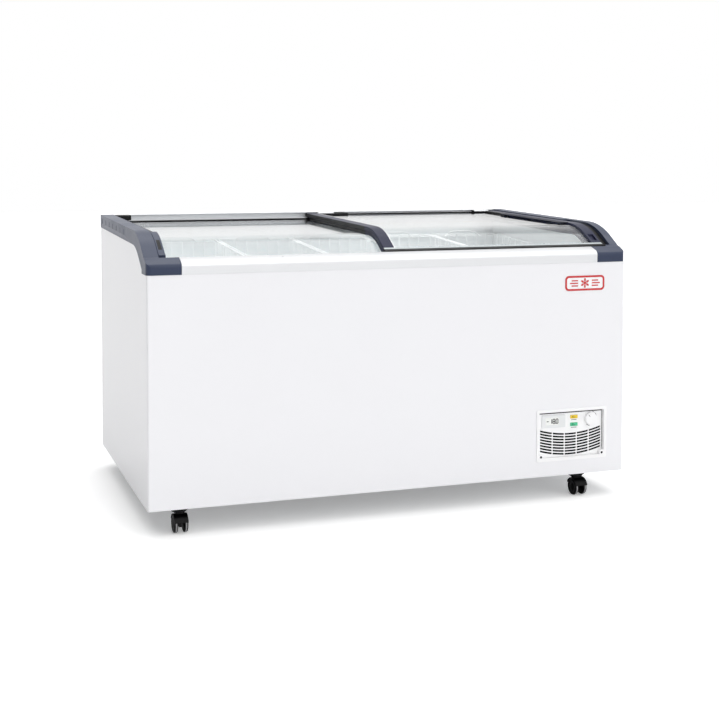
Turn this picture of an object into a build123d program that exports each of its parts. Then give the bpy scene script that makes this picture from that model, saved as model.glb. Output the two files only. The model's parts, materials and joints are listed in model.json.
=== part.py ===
"""Sliding-lid display freezer on casters: every separate piece of the cabinet, lids, baskets and cold system.

Millimetres, +Z up. The origin is at the floor, under the middle of the cabinet. -Y is the front, where the
customer stands, and +X is the customer's right. Heights are above the floor.
"""

from build123d import *
import math
import os

os.makedirs("parts", exist_ok=True)

# ---------------------------------------------------------------- driving dimensions
WIDTH = 1500.0
DEPTH = 820.0
CASTER_HEIGHT = 72.0
HALF_W = WIDTH / 2
FRONT = -DEPTH / 2
BACK = DEPTH / 2

SHEET = 1.2  # steel skin
SKIN_X = HALF_W - 1.0  # outer face of the side skins, just inside the end caps
SKIN_FRONT = FRONT + 2.0  # outer face of the front skin, just behind the rail
SKIN_BACK = BACK - 1.2
SKIN_BEND = 6.0  # corner radius of the folded skin
INNER_X, INNER_FRONT, INNER_BACK = SKIN_X - SHEET, SKIN_FRONT + SHEET, SKIN_BACK - SHEET
BOTTOM = CASTER_HEIGHT
PANEL_TOP = 724.0  # where the front skin meets the rail

# The lids bend down at the front. Every piece of them follows this one curve, at its own depth below it.
BEND_Y, BEND_Z = -199.6, 638.1  # centre of the bend
BEND_R = 200.0
REAR_DIP = math.radians(1.56)  # fall towards the front, behind the bend
FRONT_DIP = math.radians(32.5)  # fall towards the front, past the bend
# The end caps' arms bend more gently, so they stand a little proud of the lids at the front.
ARM_START = -204.0  # where the arm leaves the lid curve
ARM_R = 230.0
ARM_DIP = math.radians(34.0)

# Depths below the end caps' top surface
UPPER_TOP, UPPER_GLASS, LID_GLASS, UPPER_BOTTOM = 3.0, 8.0, 4.0, 16.0
LOWER_TOP, LOWER_GLASS, LOWER_BOTTOM = 17.0, 22.0, 30.0
SHELF_TOP, WALL_TOP = 31.5, 42.0  # shelf under the lids, and the top of the insulated walls

# End caps
CAP_WIDTH = 43.0
ARM_TOP = 27.0  # width of the right arm's raised outer part, beside its sunken track
BLOCK_WIDTH = 99.0  # front corner block of an end cap
SHELF_INNER = HALF_W - 62.0
CAP_SKIRT = 2.2
CAP_CORNER = 16.0  # rounding of the front corner seen from above
SKIRT_BEND_Y, SKIRT_BEND_Z, SKIRT_BEND_R = -156.0, 472.4, 330.0
SKIRT_REAR_DIP, SKIRT_FRONT_DIP = math.radians(1.57), math.radians(36.6)

# Front rail section, as distances behind the front and heights
NOSE_TOP = 769.5
NOSE_DEPTH = 39.0
UPPER_TRACK, LOWER_TRACK = 751.5, 737.0
RAIL_DEPTH = 70.0

# Cabinet walls and storage space
CAVITY_X = 690.0
CAVITY_Y = 350.0
CAVITY_FLOOR = 132.0
STEP_X = 385.0  # the storage floor steps up right of here, over the machine bay
STEP_FLOOR = 345.0
BAY_LEFT, BAY_TOP = 440.0, 290.0

# Lids
LID_GAP = 2.0  # between a lid and the end cap beside it
LEFT_FRAME, RIGHT_FRAME, INNER_FRAME = 17.0, 34.0, 37.0
UPPER_LEFT = -29.0  # left edge of the upper lid, closed
LOWER_RIGHT = 12.0  # right edge of the lower lid, closed

# Baskets
BASKET_COUNT = 5
BASKET_PITCH = 264.5
BASKET_W, BASKET_D = 258.5, 660.0
BASKET_LEFT = -635.5
BASKET_FLOOR = 502.0
BASKET_FRONT_RIM, BASKET_REAR_RIM = 727.0, 772.0
BASKET_WALL = 3.0
HOOK_DROP, HOOK_REACH = 10.3, 9.4  # the hooks' underside below the rim, and their reach beyond the wall

# Service panel at the front, lower right
PANEL_X, PANEL_Z = 568.0, 197.5
PANEL_W, PANEL_H = 242.0, 159.0
PANEL_RIM = 9.0
RECESS = 10.0  # the panel's face sits this far back in its rim
SLOT_ROWS, SLOT_PITCH, SLOT_H = 8, 8.8, 5.2
SLOT_X0, SLOT_X1, SLOT_RIB, SLOT_COLUMNS = 464.0, 673.0, 3.6, 5
SLOT_LOW_X, SLOT_TOP_Z, SLOT_RADIUS = 565.0, 196.5, 365.0
KNOB_X, KNOB_Z, KNOB_R = 638.0, 240.0, 20.0
SHAFT_R, RUNNING = 3.0, 0.08

# Casters
CASTER_LEFT_X, CASTER_RIGHT_X = -654.0, 606.0
CASTER_Y = 367.0
WHEEL_R, WHEEL_W = 25.0, 16.0
WHEEL_GAP = 8.0
CASTER_TRAIL = 13.0
CASTERS = {
    "front_left": (CASTER_LEFT_X, -CASTER_Y),
    "front_right": (CASTER_RIGHT_X, -CASTER_Y),
    "rear_left": (CASTER_LEFT_X, CASTER_Y),
    "rear_right": (CASTER_RIGHT_X, CASTER_Y),
}


# ---------------------------------------------------------------- shared outlines
def bend_point(centre, radius, angle):
    """Point of a bend where its curve dips by this angle: (y, z)."""
    return (centre[0] - radius * math.sin(angle), centre[1] + radius * math.cos(angle))


def curve_point(depth, angle):
    """Point of the lid curve's bend, this deep."""
    return bend_point((BEND_Y, BEND_Z), BEND_R - depth, angle)


def rear_point(depth, y):
    """Point of the lid curve's straight part behind the bend."""
    start = curve_point(depth, REAR_DIP)
    return (y, start[1] + (y - start[0]) * math.tan(REAR_DIP))


def front_point(depth, y):
    """Point of the lid curve's straight part in front of the bend."""
    start = curve_point(depth, FRONT_DIP)
    return (y, start[1] - (start[0] - y) * math.tan(FRONT_DIP))


def lid_curve(depth, y_rear, y_front):
    """The lid curve from rear to front, as points: line, arc, line."""
    middle = (REAR_DIP + FRONT_DIP) / 2
    return [
        rear_point(depth, y_rear),
        curve_point(depth, REAR_DIP),
        curve_point(depth, middle),
        curve_point(depth, FRONT_DIP),
        front_point(depth, y_front),
    ]


def arm_curve(y_rear, y_front):
    """Top of an end cap's arm from rear to front, as points: line, arc, line."""
    start = rear_point(0, ARM_START)
    centre = (start[0] + ARM_R * math.sin(REAR_DIP), start[1] - ARM_R * math.cos(REAR_DIP))
    end = bend_point(centre, ARM_R, ARM_DIP)
    return [
        rear_point(0, y_rear),
        start,
        bend_point(centre, ARM_R, (REAR_DIP + ARM_DIP) / 2),
        end,
        (y_front, end[1] - (end[0] - y_front) * math.tan(ARM_DIP)),
    ]


def strip_edges(top, bottom, y_rear, y_front):
    """Outline of a strip that follows the lid curve between two depths."""
    return band_edges(lid_curve(top, y_rear, y_front), lid_curve(bottom, y_rear, y_front))


def band_edges(over, under):
    """Outline between an upper and a lower curve, each of a line, an arc and a line."""
    with BuildLine(mode=Mode.PRIVATE) as outline:
        for points in (over, under):
            Line(points[0], points[1])
            ThreePointArc(points[1], points[2], points[3])
            Line(points[3], points[4])
        Line(over[0], under[0])
        Line(over[4], under[4])
    return outline.edges()


def skirt_point(angle):
    """Point of the end cap's lower outer edge in its bend."""
    return bend_point((SKIRT_BEND_Y, SKIRT_BEND_Z), SKIRT_BEND_R, angle)


def skirt_curve():
    """Lower outer edge of an end cap, rear to front, down to the rail's lower edge."""
    start, end = skirt_point(SKIRT_REAR_DIP), skirt_point(SKIRT_FRONT_DIP)
    foot_y = end[0] - (end[1] - PANEL_TOP) / math.tan(SKIRT_FRONT_DIP)
    return [
        (BACK, start[1] + (BACK - start[0]) * math.tan(SKIRT_REAR_DIP)),
        start,
        skirt_point((SKIRT_REAR_DIP + SKIRT_FRONT_DIP) / 2),
        end,
        (foot_y, PANEL_TOP),
    ]


def side_skin_edges():
    """Outline of a side skin: the cabinet's side up to the end cap."""
    top = skirt_curve()
    rear_top = (SKIN_BACK, top[0][1] - (BACK - SKIN_BACK) * math.tan(SKIRT_REAR_DIP))
    with BuildLine(mode=Mode.PRIVATE) as outline:
        Polyline((SKIN_FRONT, PANEL_TOP), (SKIN_FRONT, BOTTOM), (SKIN_BACK, BOTTOM), rear_top, top[1])
        ThreePointArc(top[1], top[2], top[3])
        Polyline(top[3], top[4], (SKIN_FRONT, PANEL_TOP))
    return outline.edges()


def wall_edges(front, back, bottom, depth):
    """Outline of a wall or space seen from the side: flat below, the lid curve above, the rail at the front."""
    top = lid_curve(depth, back, front)
    foot = top[3][0] - (top[3][1] - PANEL_TOP) / math.tan(FRONT_DIP)
    with BuildLine(mode=Mode.PRIVATE) as outline:
        if front < foot:
            Polyline((foot, PANEL_TOP), (front, PANEL_TOP), (front, bottom), (back, bottom), top[0], top[1])
            Line(top[3], (foot, PANEL_TOP))
        else:
            Polyline(top[4], (front, bottom), (back, bottom), top[0], top[1])
            Line(top[3], top[4])
        ThreePointArc(top[1], top[2], top[3])
    return outline.edges()


def rail_edges(upright, round_middle, round_end):
    """Section of the front rail: a rounded nose and two stepped tracks, the front one for the upper lid.
    upright is the height of the nose's front face, the others are points of its rounding, from its lower corner."""
    y = [FRONT + step for step in (0.0, 36.0, NOSE_DEPTH, 53.0, RAIL_DEPTH)]
    middle = (FRONT + round_middle[0], PANEL_TOP + round_middle[1])
    end = (FRONT + round_end[0], PANEL_TOP + round_end[1])
    with BuildLine(mode=Mode.PRIVATE) as outline:
        Line((y[0], PANEL_TOP), (y[0], PANEL_TOP + upright))
        ThreePointArc((y[0], PANEL_TOP + upright), middle, end)
        Polyline(
            end,
            (y[1], NOSE_TOP),
            (y[2], NOSE_TOP),
            (y[2], UPPER_TRACK),
            (y[3], UPPER_TRACK),
            (y[3], LOWER_TRACK),
            (y[4], LOWER_TRACK),
            (y[4], PANEL_TOP),
            (y[0], PANEL_TOP),
        )
    return outline.edges()


def plan_edges(half, front, back, radius):
    """Plan outline with its two front corners rounded."""
    near = radius * (1 - math.sqrt(0.5))
    with BuildLine(mode=Mode.PRIVATE) as outline:
        Polyline((-half, front + radius), (-half, back), (half, back), (half, front + radius))
        ThreePointArc((half, front + radius), (half - near, front + near), (half - radius, front))
        Line((half - radius, front), (-half + radius, front))
        ThreePointArc((-half + radius, front), (-half + near, front + near), (-half, front + radius))
    return outline.edges()


def save(builder, name):
    """Labels a finished piece and writes it."""
    builder.part.label = name
    export_step(builder.part, f"parts/{name}.step")


# ---------------------------------------------------------------- cabinet shell
with BuildPart() as outer_wrap:
    with BuildSketch(Plane.XY.offset(BOTTOM)):
        make_face(plan_edges(SKIN_X, SKIN_FRONT, SKIN_BACK, SKIN_BEND))
        make_face(plan_edges(INNER_X, INNER_FRONT, BACK, SKIN_BEND - SHEET), mode=Mode.SUBTRACT)
    extrude(amount=800)
    with BuildSketch(Plane.YZ.offset(-HALF_W)):
        make_face(side_skin_edges())
    extrude(amount=WIDTH, mode=Mode.INTERSECT)
    # opening of the service panel
    with BuildSketch(Plane.XZ.offset(-SKIN_FRONT)):
        with Locations((PANEL_X, PANEL_Z)):
            Rectangle(PANEL_W - 16, PANEL_H - 16)
    extrude(amount=-SHEET, mode=Mode.SUBTRACT)
    # inward flanges along the rear edges, where the back panel is screwed on
    with BuildSketch(Plane.XZ.offset(-SKIN_BACK)):
        with Locations((-INNER_X + 9, 440), (INNER_X - 9, 440)):
            Rectangle(20, 720)
    extrude(amount=SHEET)
save(outer_wrap, "outer_wrap")

with BuildPart() as back_panel:
    with BuildSketch(Plane.XZ.offset(-BACK)):
        with Locations((0, (BOTTOM + 812) / 2)):
            Rectangle(2 * SKIN_X - 4, 812 - BOTTOM - 2)
    extrude(amount=BACK - SKIN_BACK)
    # louvres behind the machine bay
    with BuildSketch(Plane.XZ.offset(-BACK)):
        with Locations((595, 180)):
            with GridLocations(62, 18, 4, 9):
                SlotOverall(50, 6)
    extrude(amount=10, both=True, mode=Mode.SUBTRACT)
    # hole of the mains inlet's gland
    with BuildSketch(Plane.XZ.offset(-BACK)):
        with Locations((420 + 45, 110)):
            Circle(9)
    extrude(amount=10, both=True, mode=Mode.SUBTRACT)
save(back_panel, "back_panel")

DRAIN_X, DRAIN_Y = -560.0, -250.0
with BuildPart() as base_pan:
    with BuildSketch(Plane.XY.offset(BOTTOM)):
        make_face(plan_edges(INNER_X, INNER_FRONT, INNER_BACK, SKIN_BEND - SHEET))
        with Locations((DRAIN_X, DRAIN_Y)):
            Circle(13, mode=Mode.SUBTRACT)
    extrude(amount=2)
    # partition of the machine bay: a wall and a ceiling folded from one sheet
    with BuildSketch(Plane.XZ.offset(-(INNER_FRONT + SKIN_BEND))):
        with BuildLine():
            Polyline(
                (BAY_LEFT, BOTTOM + 2),
                (BAY_LEFT, BAY_TOP),
                (INNER_X, BAY_TOP),
                (INNER_X, BAY_TOP - 1.5),
                (BAY_LEFT + 1.5, BAY_TOP - 1.5),
                (BAY_LEFT + 1.5, BOTTOM + 2),
                close=True,
            )
        make_face()
    extrude(amount=-(INNER_BACK - INNER_FRONT - SKIN_BEND))
    # clearance holes of the caster bolts
    with BuildSketch(Plane.XY.offset(BOTTOM)):
        with Locations(*CASTERS.values()):
            with GridLocations(38, 34, 2, 2):
                Circle(3.3)
    extrude(amount=2, mode=Mode.SUBTRACT)
save(base_pan, "base_pan")

# storage liner, one pressed shell with a step over the machine bay
LINER = 1.2
with BuildPart() as inner_liner:
    with BuildSketch(Plane.YZ.offset(-CAVITY_X - LINER)):
        make_face(wall_edges(-CAVITY_Y - LINER, CAVITY_Y + LINER, CAVITY_FLOOR - LINER, WALL_TOP))
    extrude(amount=2 * (CAVITY_X + LINER))
    with BuildSketch(Plane.XZ.offset(CAVITY_Y + LINER)):
        with Locations((STEP_X + LINER, CAVITY_FLOOR - LINER)):
            Rectangle(400, STEP_FLOOR - CAVITY_FLOOR, align=(Align.MIN, Align.MIN))
    extrude(amount=-2 * (CAVITY_Y + LINER), mode=Mode.SUBTRACT)
    with BuildSketch(Plane.XZ.offset(CAVITY_Y)):
        with BuildLine():
            Polyline(
                (-CAVITY_X, CAVITY_FLOOR),
                (STEP_X, CAVITY_FLOOR),
                (STEP_X, STEP_FLOOR),
                (CAVITY_X, STEP_FLOOR),
                (CAVITY_X, 900),
                (-CAVITY_X, 900),
                close=True,
            )
        make_face()
    extrude(amount=-2 * CAVITY_Y, mode=Mode.SUBTRACT)
    # the front rim ends under the rail
    with BuildSketch(Plane.XY.offset(PANEL_TOP)):
        with Locations((0, FRONT)):
            Rectangle(WIDTH, RAIL_DEPTH + 0.5, align=(Align.CENTER, Align.MIN))
    extrude(amount=200, mode=Mode.SUBTRACT)
    with BuildSketch(Plane.XY.offset(CAVITY_FLOOR - LINER)):
        with Locations((DRAIN_X, DRAIN_Y)):
            Circle(12.2)
    extrude(amount=LINER, mode=Mode.SUBTRACT)
save(inner_liner, "inner_liner")

# evaporator tube: rings foamed in against the liner, joined by a riser
TUBE = 8.0
RING_HEIGHTS = (400.0, 470.0, 540.0, 610.0, 680.0)
with BuildPart() as evaporator_coil:
    for height in RING_HEIGHTS:
        with BuildSketch(Plane.XY.offset(height)):
            RectangleRounded(2 * (CAVITY_X + LINER + TUBE), 2 * (CAVITY_Y + LINER + TUBE), 20)
            Rectangle(2 * (CAVITY_X + LINER), 2 * (CAVITY_Y + LINER), mode=Mode.SUBTRACT)
        extrude(amount=TUBE)
    with BuildSketch(Plane.XY.offset(RING_HEIGHTS[0])):
        with Locations((600, CAVITY_Y + LINER + TUBE / 2)):
            Rectangle(TUBE, TUBE)
    extrude(amount=RING_HEIGHTS[-1] - RING_HEIGHTS[0] + TUBE)
save(evaporator_coil, "evaporator_coil")

with BuildPart() as foam_insulation:
    with BuildSketch(Plane.YZ.offset(-INNER_X)):
        make_face(wall_edges(INNER_FRONT, INNER_BACK, BOTTOM + 2, WALL_TOP))
    extrude(amount=2 * INNER_X)
    with BuildSketch(Plane.XY):
        make_face(plan_edges(INNER_X, INNER_FRONT, INNER_BACK, SKIN_BEND - SHEET))
    extrude(amount=900, mode=Mode.INTERSECT)
    # room for the liner
    with BuildSketch(Plane.XZ.offset(CAVITY_Y + LINER)):
        with BuildLine():
            Polyline(
                (-CAVITY_X - LINER, CAVITY_FLOOR - LINER),
                (STEP_X + LINER, CAVITY_FLOOR - LINER),
                (STEP_X + LINER, STEP_FLOOR - LINER),
                (CAVITY_X + LINER, STEP_FLOOR - LINER),
                (CAVITY_X + LINER, 900),
                (-CAVITY_X - LINER, 900),
                close=True,
            )
        make_face()
    extrude(amount=-2 * (CAVITY_Y + LINER), mode=Mode.SUBTRACT)
    # room for the machine bay
    with BuildSketch(Plane.XZ.offset(450)):
        with Locations((BAY_LEFT, 0)):
            Rectangle(400, BAY_TOP, align=(Align.MIN, Align.MIN))
    extrude(amount=-900, mode=Mode.SUBTRACT)
    # room for the evaporator
    add(evaporator_coil.part, mode=Mode.SUBTRACT)
    # the front and rear walls end under the rails
    with BuildSketch(Plane.XY.offset(PANEL_TOP)):
        with Locations((0, FRONT)):
            Rectangle(WIDTH, RAIL_DEPTH + 0.5, align=(Align.CENTER, Align.MIN))
    extrude(amount=200, mode=Mode.SUBTRACT)
    with BuildSketch(Plane.XY.offset(812)):
        Rectangle(WIDTH, DEPTH)
    extrude(amount=200, mode=Mode.SUBTRACT)
    # drain hole
    with BuildSketch(Plane.XY.offset(BOTTOM)):
        with Locations((DRAIN_X, DRAIN_Y)):
            Circle(13)
    extrude(amount=80, mode=Mode.SUBTRACT)
save(foam_insulation, "foam_insulation")

# ---------------------------------------------------------------- rails
RAIL_HALF = HALF_W - BLOCK_WIDTH
with BuildPart() as front_rail:
    with BuildSketch(Plane.YZ.offset(-RAIL_HALF)):
        make_face(rail_edges(22, (3.2, 31.6), (10.5, 36.5)))
    extrude(amount=2 * RAIL_HALF)
    # hollow chambers of the extrusion
    with BuildSketch(Plane.YZ.offset(-RAIL_HALF)):
        with Locations((FRONT + 4, PANEL_TOP + 2.5)):
            Rectangle(31, 19, align=(Align.MIN, Align.MIN))
        with Locations((FRONT + 38, PANEL_TOP + 2.5)):
            Rectangle(29, 8, align=(Align.MIN, Align.MIN))
    extrude(amount=2 * RAIL_HALF, mode=Mode.SUBTRACT)
save(front_rail, "front_rail")

REAR_RAIL_BOTTOM = 812.5
REAR_STEP_Y, REAR_STEP2_Y, REAR_WALL_Y = BACK - 58, BACK - 38, BACK - 23
REAR_TOP = rear_point(0, BACK)[1]
with BuildPart() as rear_rail:
    with BuildSketch(Plane.YZ.offset(-(HALF_W - CAP_WIDTH))):
        with BuildLine():
            Polyline(
                (REAR_STEP_Y, REAR_RAIL_BOTTOM),
                (BACK, REAR_RAIL_BOTTOM),
                (BACK, REAR_TOP),
                (BACK - 34, REAR_TOP),
                (BACK - 34, REAR_TOP - 2.2),
                (REAR_WALL_Y, REAR_TOP - 2.2),
                (REAR_WALL_Y, 837.2),
                (REAR_STEP2_Y, 837.2),
                (REAR_STEP2_Y, 822.8),
                (REAR_STEP_Y, 822.8),
                close=True,
            )
        make_face()
        with Locations((BACK - 35, REAR_RAIL_BOTTOM + 2.5)):
            Rectangle(32, 19, align=(Align.MIN, Align.MIN), mode=Mode.SUBTRACT)
    extrude(amount=2 * (HALF_W - CAP_WIDTH))
save(rear_rail, "rear_rail")

# black end piece of the rear rail, in the upper lid's track at the left
with BuildPart() as rear_rail_stop:
    with BuildSketch(Plane.YZ.offset(-(HALF_W - CAP_WIDTH))):
        with BuildLine():
            Polyline(
                (BACK - 66, 838.0),
                (REAR_WALL_Y - 0.3, 838.0),
                (REAR_WALL_Y - 0.3, 852.0),
                (BACK - 34.5, 852.0),
                (BACK - 34.5, 855.2),
                (BACK - 60, 854.6),
                (BACK - 66, 852.5),
                close=True,
            )
        make_face()
    extrude(amount=50)
save(rear_rail_stop, "rear_rail_stop")


# ---------------------------------------------------------------- end caps
def end_cap(side):
    """Moulded cap over one end wall. side is -1 for the left end, 1 for the right."""
    outer = side * HALF_W
    with BuildPart() as cap:
        # arm, down to the top of the insulated wall
        with BuildSketch(Plane.YZ.offset(outer)):
            make_face(band_edges(arm_curve(BACK, FRONT + 52), lid_curve(WALL_TOP, BACK, FRONT + 52)))
        extrude(amount=-side * CAP_WIDTH)
        # shelf under the lids, over the liner's edge
        with BuildSketch(Plane.YZ.offset(side * (HALF_W - CAP_WIDTH))):
            make_face(strip_edges(SHELF_TOP, WALL_TOP, BACK - 58, FRONT + RAIL_DEPTH - 0.5))
        extrude(amount=side * (SHELF_INNER - HALF_W + CAP_WIDTH))
        # front corner block, nearly the rail's own section
        with BuildSketch(Plane.YZ.offset(outer)):
            make_face(rail_edges(19, (2.4, 26.6), (8.5, 31.5)))
        extrude(amount=-side * BLOCK_WIDTH)
        # solid corner where the arm lands on the block
        landing = arm_curve(BACK, FRONT + 36)
        with BuildSketch(Plane.YZ.offset(outer)):
            with BuildLine():
                Polyline(
                    (FRONT + 20, PANEL_TOP),
                    (FRONT + RAIL_DEPTH, PANEL_TOP),
                    front_point(WALL_TOP, FRONT + RAIL_DEPTH),
                    arm_curve(BACK, FRONT + RAIL_DEPTH)[4],
                    landing[4],
                    (FRONT + 34, NOSE_TOP - 1),
                    (FRONT + 20, NOSE_TOP - 12),
                    close=True,
                )
            make_face()
        extrude(amount=-side * CAP_WIDTH)
        # outer skirt that laps down to the side skin
        skirt = skirt_curve()
        roof = lid_curve(10, BACK, FRONT + 40)
        with BuildSketch(Plane.YZ.offset(outer)):
            with BuildLine():
                Polyline(roof[1], roof[0], skirt[0], skirt[1])
                ThreePointArc(skirt[1], skirt[2], skirt[3])
                Polyline(skirt[3], skirt[4], (FRONT + 20, PANEL_TOP), (FRONT + 20, NOSE_TOP - 16), roof[4], roof[3])
                ThreePointArc(roof[3], roof[2], roof[1])
            make_face()
        extrude(amount=-side * CAP_SKIRT)
        # the sheet and foam stand inside the skirt
        with BuildSketch(Plane.YZ.offset(side * (HALF_W - 0.9))):
            make_face(side_skin_edges())
        extrude(amount=-side * 1.5, mode=Mode.SUBTRACT)
        # sunken track along the right arm's inner edge, beside the upper lid
        if side > 0:
            with BuildSketch(Plane.YZ.offset(side * (HALF_W - ARM_TOP))):
                make_face(strip_edges(-12, TRACK_DEPTH, TRACK_REAR, FRONT + 46))
            extrude(amount=-side * (CAP_WIDTH - ARM_TOP), mode=Mode.SUBTRACT)
        # upright dents along the outer face
        with BuildSketch(Plane.YZ.offset(outer)):
            for dent in range(7):
                with Locations((BACK - 45 - 70 * dent, rear_point(19, BACK - 45 - 70 * dent)[1])):
                    RectangleRounded(7, 17, 2)
        extrude(amount=-side * 0.8, mode=Mode.SUBTRACT)
        # rounded front corner
        with BuildSketch(Plane.XY.offset(BOTTOM)):
            make_face(plan_edges(HALF_W, FRONT, BACK, CAP_CORNER))
        extrude(amount=900, mode=Mode.INTERSECT)
    return cap


TRACK_DEPTH, TRACK_REAR = 9.0, BACK - 520
left_end_cap = end_cap(-1)
save(left_end_cap, "left_end_cap")
right_end_cap = end_cap(1)
save(right_end_cap, "right_end_cap")

# black strip that lines the right cap's track
with BuildPart() as right_cap_track:
    with BuildSketch(Plane.YZ.offset(HALF_W - CAP_WIDTH)):
        make_face(strip_edges(TRACK_DEPTH - 2.5, TRACK_DEPTH, TRACK_REAR - 0.5, FRONT + 47))
    extrude(amount=CAP_WIDTH - ARM_TOP - 0.2)
save(right_cap_track, "right_cap_track")


# ---------------------------------------------------------------- sliding lids
def frame_bar(x0, x1, top, bottom, y_rear, pocket=None):
    """Side frame of a lid, following the bend. pocket, if given, is (x, width, distance behind the front) of
    a finger pocket near the lid's front edge."""
    with BuildPart() as bar:
        with BuildSketch(Plane.YZ.offset(x0)):
            make_face(strip_edges(top, bottom, y_rear, FRONT + 66))
        extrude(amount=x1 - x0)
        if pocket is not None:
            pocket_x, pocket_width, pocket_y = pocket
            with BuildSketch(Plane.YZ.offset(pocket_x)):
                with BuildLine():
                    Polyline(
                        front_point(top - 2, FRONT + pocket_y + POCKET_LENGTH),
                        front_point(top - 2, FRONT + pocket_y),
                        front_point(top + 6, FRONT + pocket_y),
                        front_point(top + 6, FRONT + pocket_y + POCKET_LENGTH),
                        close=True,
                    )
                make_face()
            extrude(amount=pocket_width, mode=Mode.SUBTRACT)
    return bar


def lid_glass(x0, x1, depth, y_rear, y_front):
    """Bent safety glass of a lid."""
    with BuildPart() as pane:
        with BuildSketch(Plane.YZ.offset(x0)):
            make_face(strip_edges(depth, depth + LID_GLASS, y_rear, y_front))
        extrude(amount=x1 - x0)
    return pane


def cross_bar(x0, x1, points):
    """Straight profile along X with this section: (y, z) points."""
    with BuildPart() as bar:
        with BuildSketch(Plane.YZ.offset(x0)):
            with BuildLine():
                Polyline(*points, close=True)
            make_face()
        extrude(amount=x1 - x0)
    return bar


POCKET_LENGTH = 27.0
lower_left = -(HALF_W - CAP_WIDTH - LID_GAP)
upper_right = HALF_W - CAP_WIDTH - LID_GAP
LOWER_REAR, UPPER_REAR = BACK - 41, BACK - 26

left_lid_outer_frame = frame_bar(
    lower_left, lower_left + LEFT_FRAME, LOWER_TOP, LOWER_BOTTOM, LOWER_REAR, (lower_left + 2, 13, 70)
)
save(left_lid_outer_frame, "left_lid_outer_frame")
left_lid_inner_frame = frame_bar(LOWER_RIGHT - INNER_FRAME, LOWER_RIGHT, LOWER_TOP, LOWER_BOTTOM, LOWER_REAR)
save(left_lid_inner_frame, "left_lid_inner_frame")
left_lid_glass = lid_glass(
    lower_left + LEFT_FRAME, LOWER_RIGHT - INNER_FRAME, LOWER_GLASS, LOWER_REAR - 16, FRONT + 66
)
save(left_lid_glass, "left_lid_glass")
left_lid_front_profile = cross_bar(
    lower_left,
    LOWER_RIGHT,
    [
        (FRONT + 55.5, LOWER_TRACK + 0.6),
        (FRONT + 66, LOWER_TRACK + 0.6),
        front_point(LOWER_TOP, FRONT + 66),
        front_point(LOWER_TOP, FRONT + 57.5),
        (FRONT + 55.5, front_point(LOWER_TOP, FRONT + 57.5)[1] - 3),
    ],
)
save(left_lid_front_profile, "left_lid_front_profile")
left_lid_rear_profile = cross_bar(
    lower_left + LEFT_FRAME,
    LOWER_RIGHT - INNER_FRAME,
    [
        rear_point(LOWER_TOP + 2, LOWER_REAR),
        rear_point(LOWER_TOP + 2, LOWER_REAR - 16),
        rear_point(LOWER_BOTTOM - 1, LOWER_REAR - 16),
        rear_point(LOWER_BOTTOM - 1, LOWER_REAR),
    ],
)
save(left_lid_rear_profile, "left_lid_rear_profile")

right_lid_outer_frame = frame_bar(
    upper_right - RIGHT_FRAME, upper_right, UPPER_TOP, UPPER_BOTTOM, UPPER_REAR, (upper_right - 26, 18, 76)
)
save(right_lid_outer_frame, "right_lid_outer_frame")
right_lid_inner_frame = frame_bar(UPPER_LEFT, UPPER_LEFT + INNER_FRAME, UPPER_TOP, UPPER_BOTTOM, UPPER_REAR)
save(right_lid_inner_frame, "right_lid_inner_frame")
right_lid_glass = lid_glass(
    UPPER_LEFT + INNER_FRAME, upper_right - RIGHT_FRAME, UPPER_GLASS, UPPER_REAR - 16, FRONT + 66
)
save(right_lid_glass, "right_lid_glass")
nose_line = front_point(UPPER_TOP, FRONT + 66)
right_lid_front_profile = cross_bar(
    UPPER_LEFT,
    upper_right,
    [
        (FRONT + NOSE_DEPTH + 2, UPPER_TRACK + 0.8),
        (FRONT + 51, UPPER_TRACK + 0.8),
        front_point(UPPER_BOTTOM, FRONT + 52),
        front_point(UPPER_BOTTOM, FRONT + 66),
        nose_line,
        (FRONT + 50, NOSE_TOP + 3),
        (FRONT + NOSE_DEPTH + 2, NOSE_TOP + 3),
    ],
)
save(right_lid_front_profile, "right_lid_front_profile")

# rear edge of the upper lid, with a sliding shoe standing up at each end
SHOE = 116.0
with BuildPart() as right_lid_rear_profile:
    with BuildSketch(Plane.YZ.offset(UPPER_LEFT + INNER_FRAME)):
        with BuildLine():
            Polyline(
                rear_point(UPPER_TOP + 2, UPPER_REAR),
                rear_point(UPPER_TOP + 2, UPPER_REAR - 16),
                rear_point(UPPER_BOTTOM - 1, UPPER_REAR - 16),
                rear_point(UPPER_BOTTOM - 1, UPPER_REAR),
                close=True,
            )
        make_face()
    extrude(amount=upper_right - RIGHT_FRAME - UPPER_LEFT - INNER_FRAME)
    for shoe_x in (UPPER_LEFT + INNER_FRAME, upper_right - RIGHT_FRAME - SHOE / 2):
        with BuildSketch(Plane.YZ.offset(shoe_x)):
            with BuildLine():
                Polyline(
                    (BACK - 36, rear_point(-0.5, BACK - 36)[1]),
                    (BACK - 58, rear_point(-0.5, BACK - 58)[1]),
                    (BACK - 64, rear_point(3, BACK - 64)[1]),
                    (BACK - 64, rear_point(UPPER_GLASS, BACK - 64)[1]),
                    (BACK - 42, rear_point(UPPER_GLASS, BACK - 42)[1]),
                    (BACK - 36, rear_point(UPPER_GLASS, BACK - 36)[1]),
                    close=True,
                )
            make_face()
        extrude(amount=SHOE if shoe_x < 0 else SHOE / 2)
save(right_lid_rear_profile, "right_lid_rear_profile")


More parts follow.
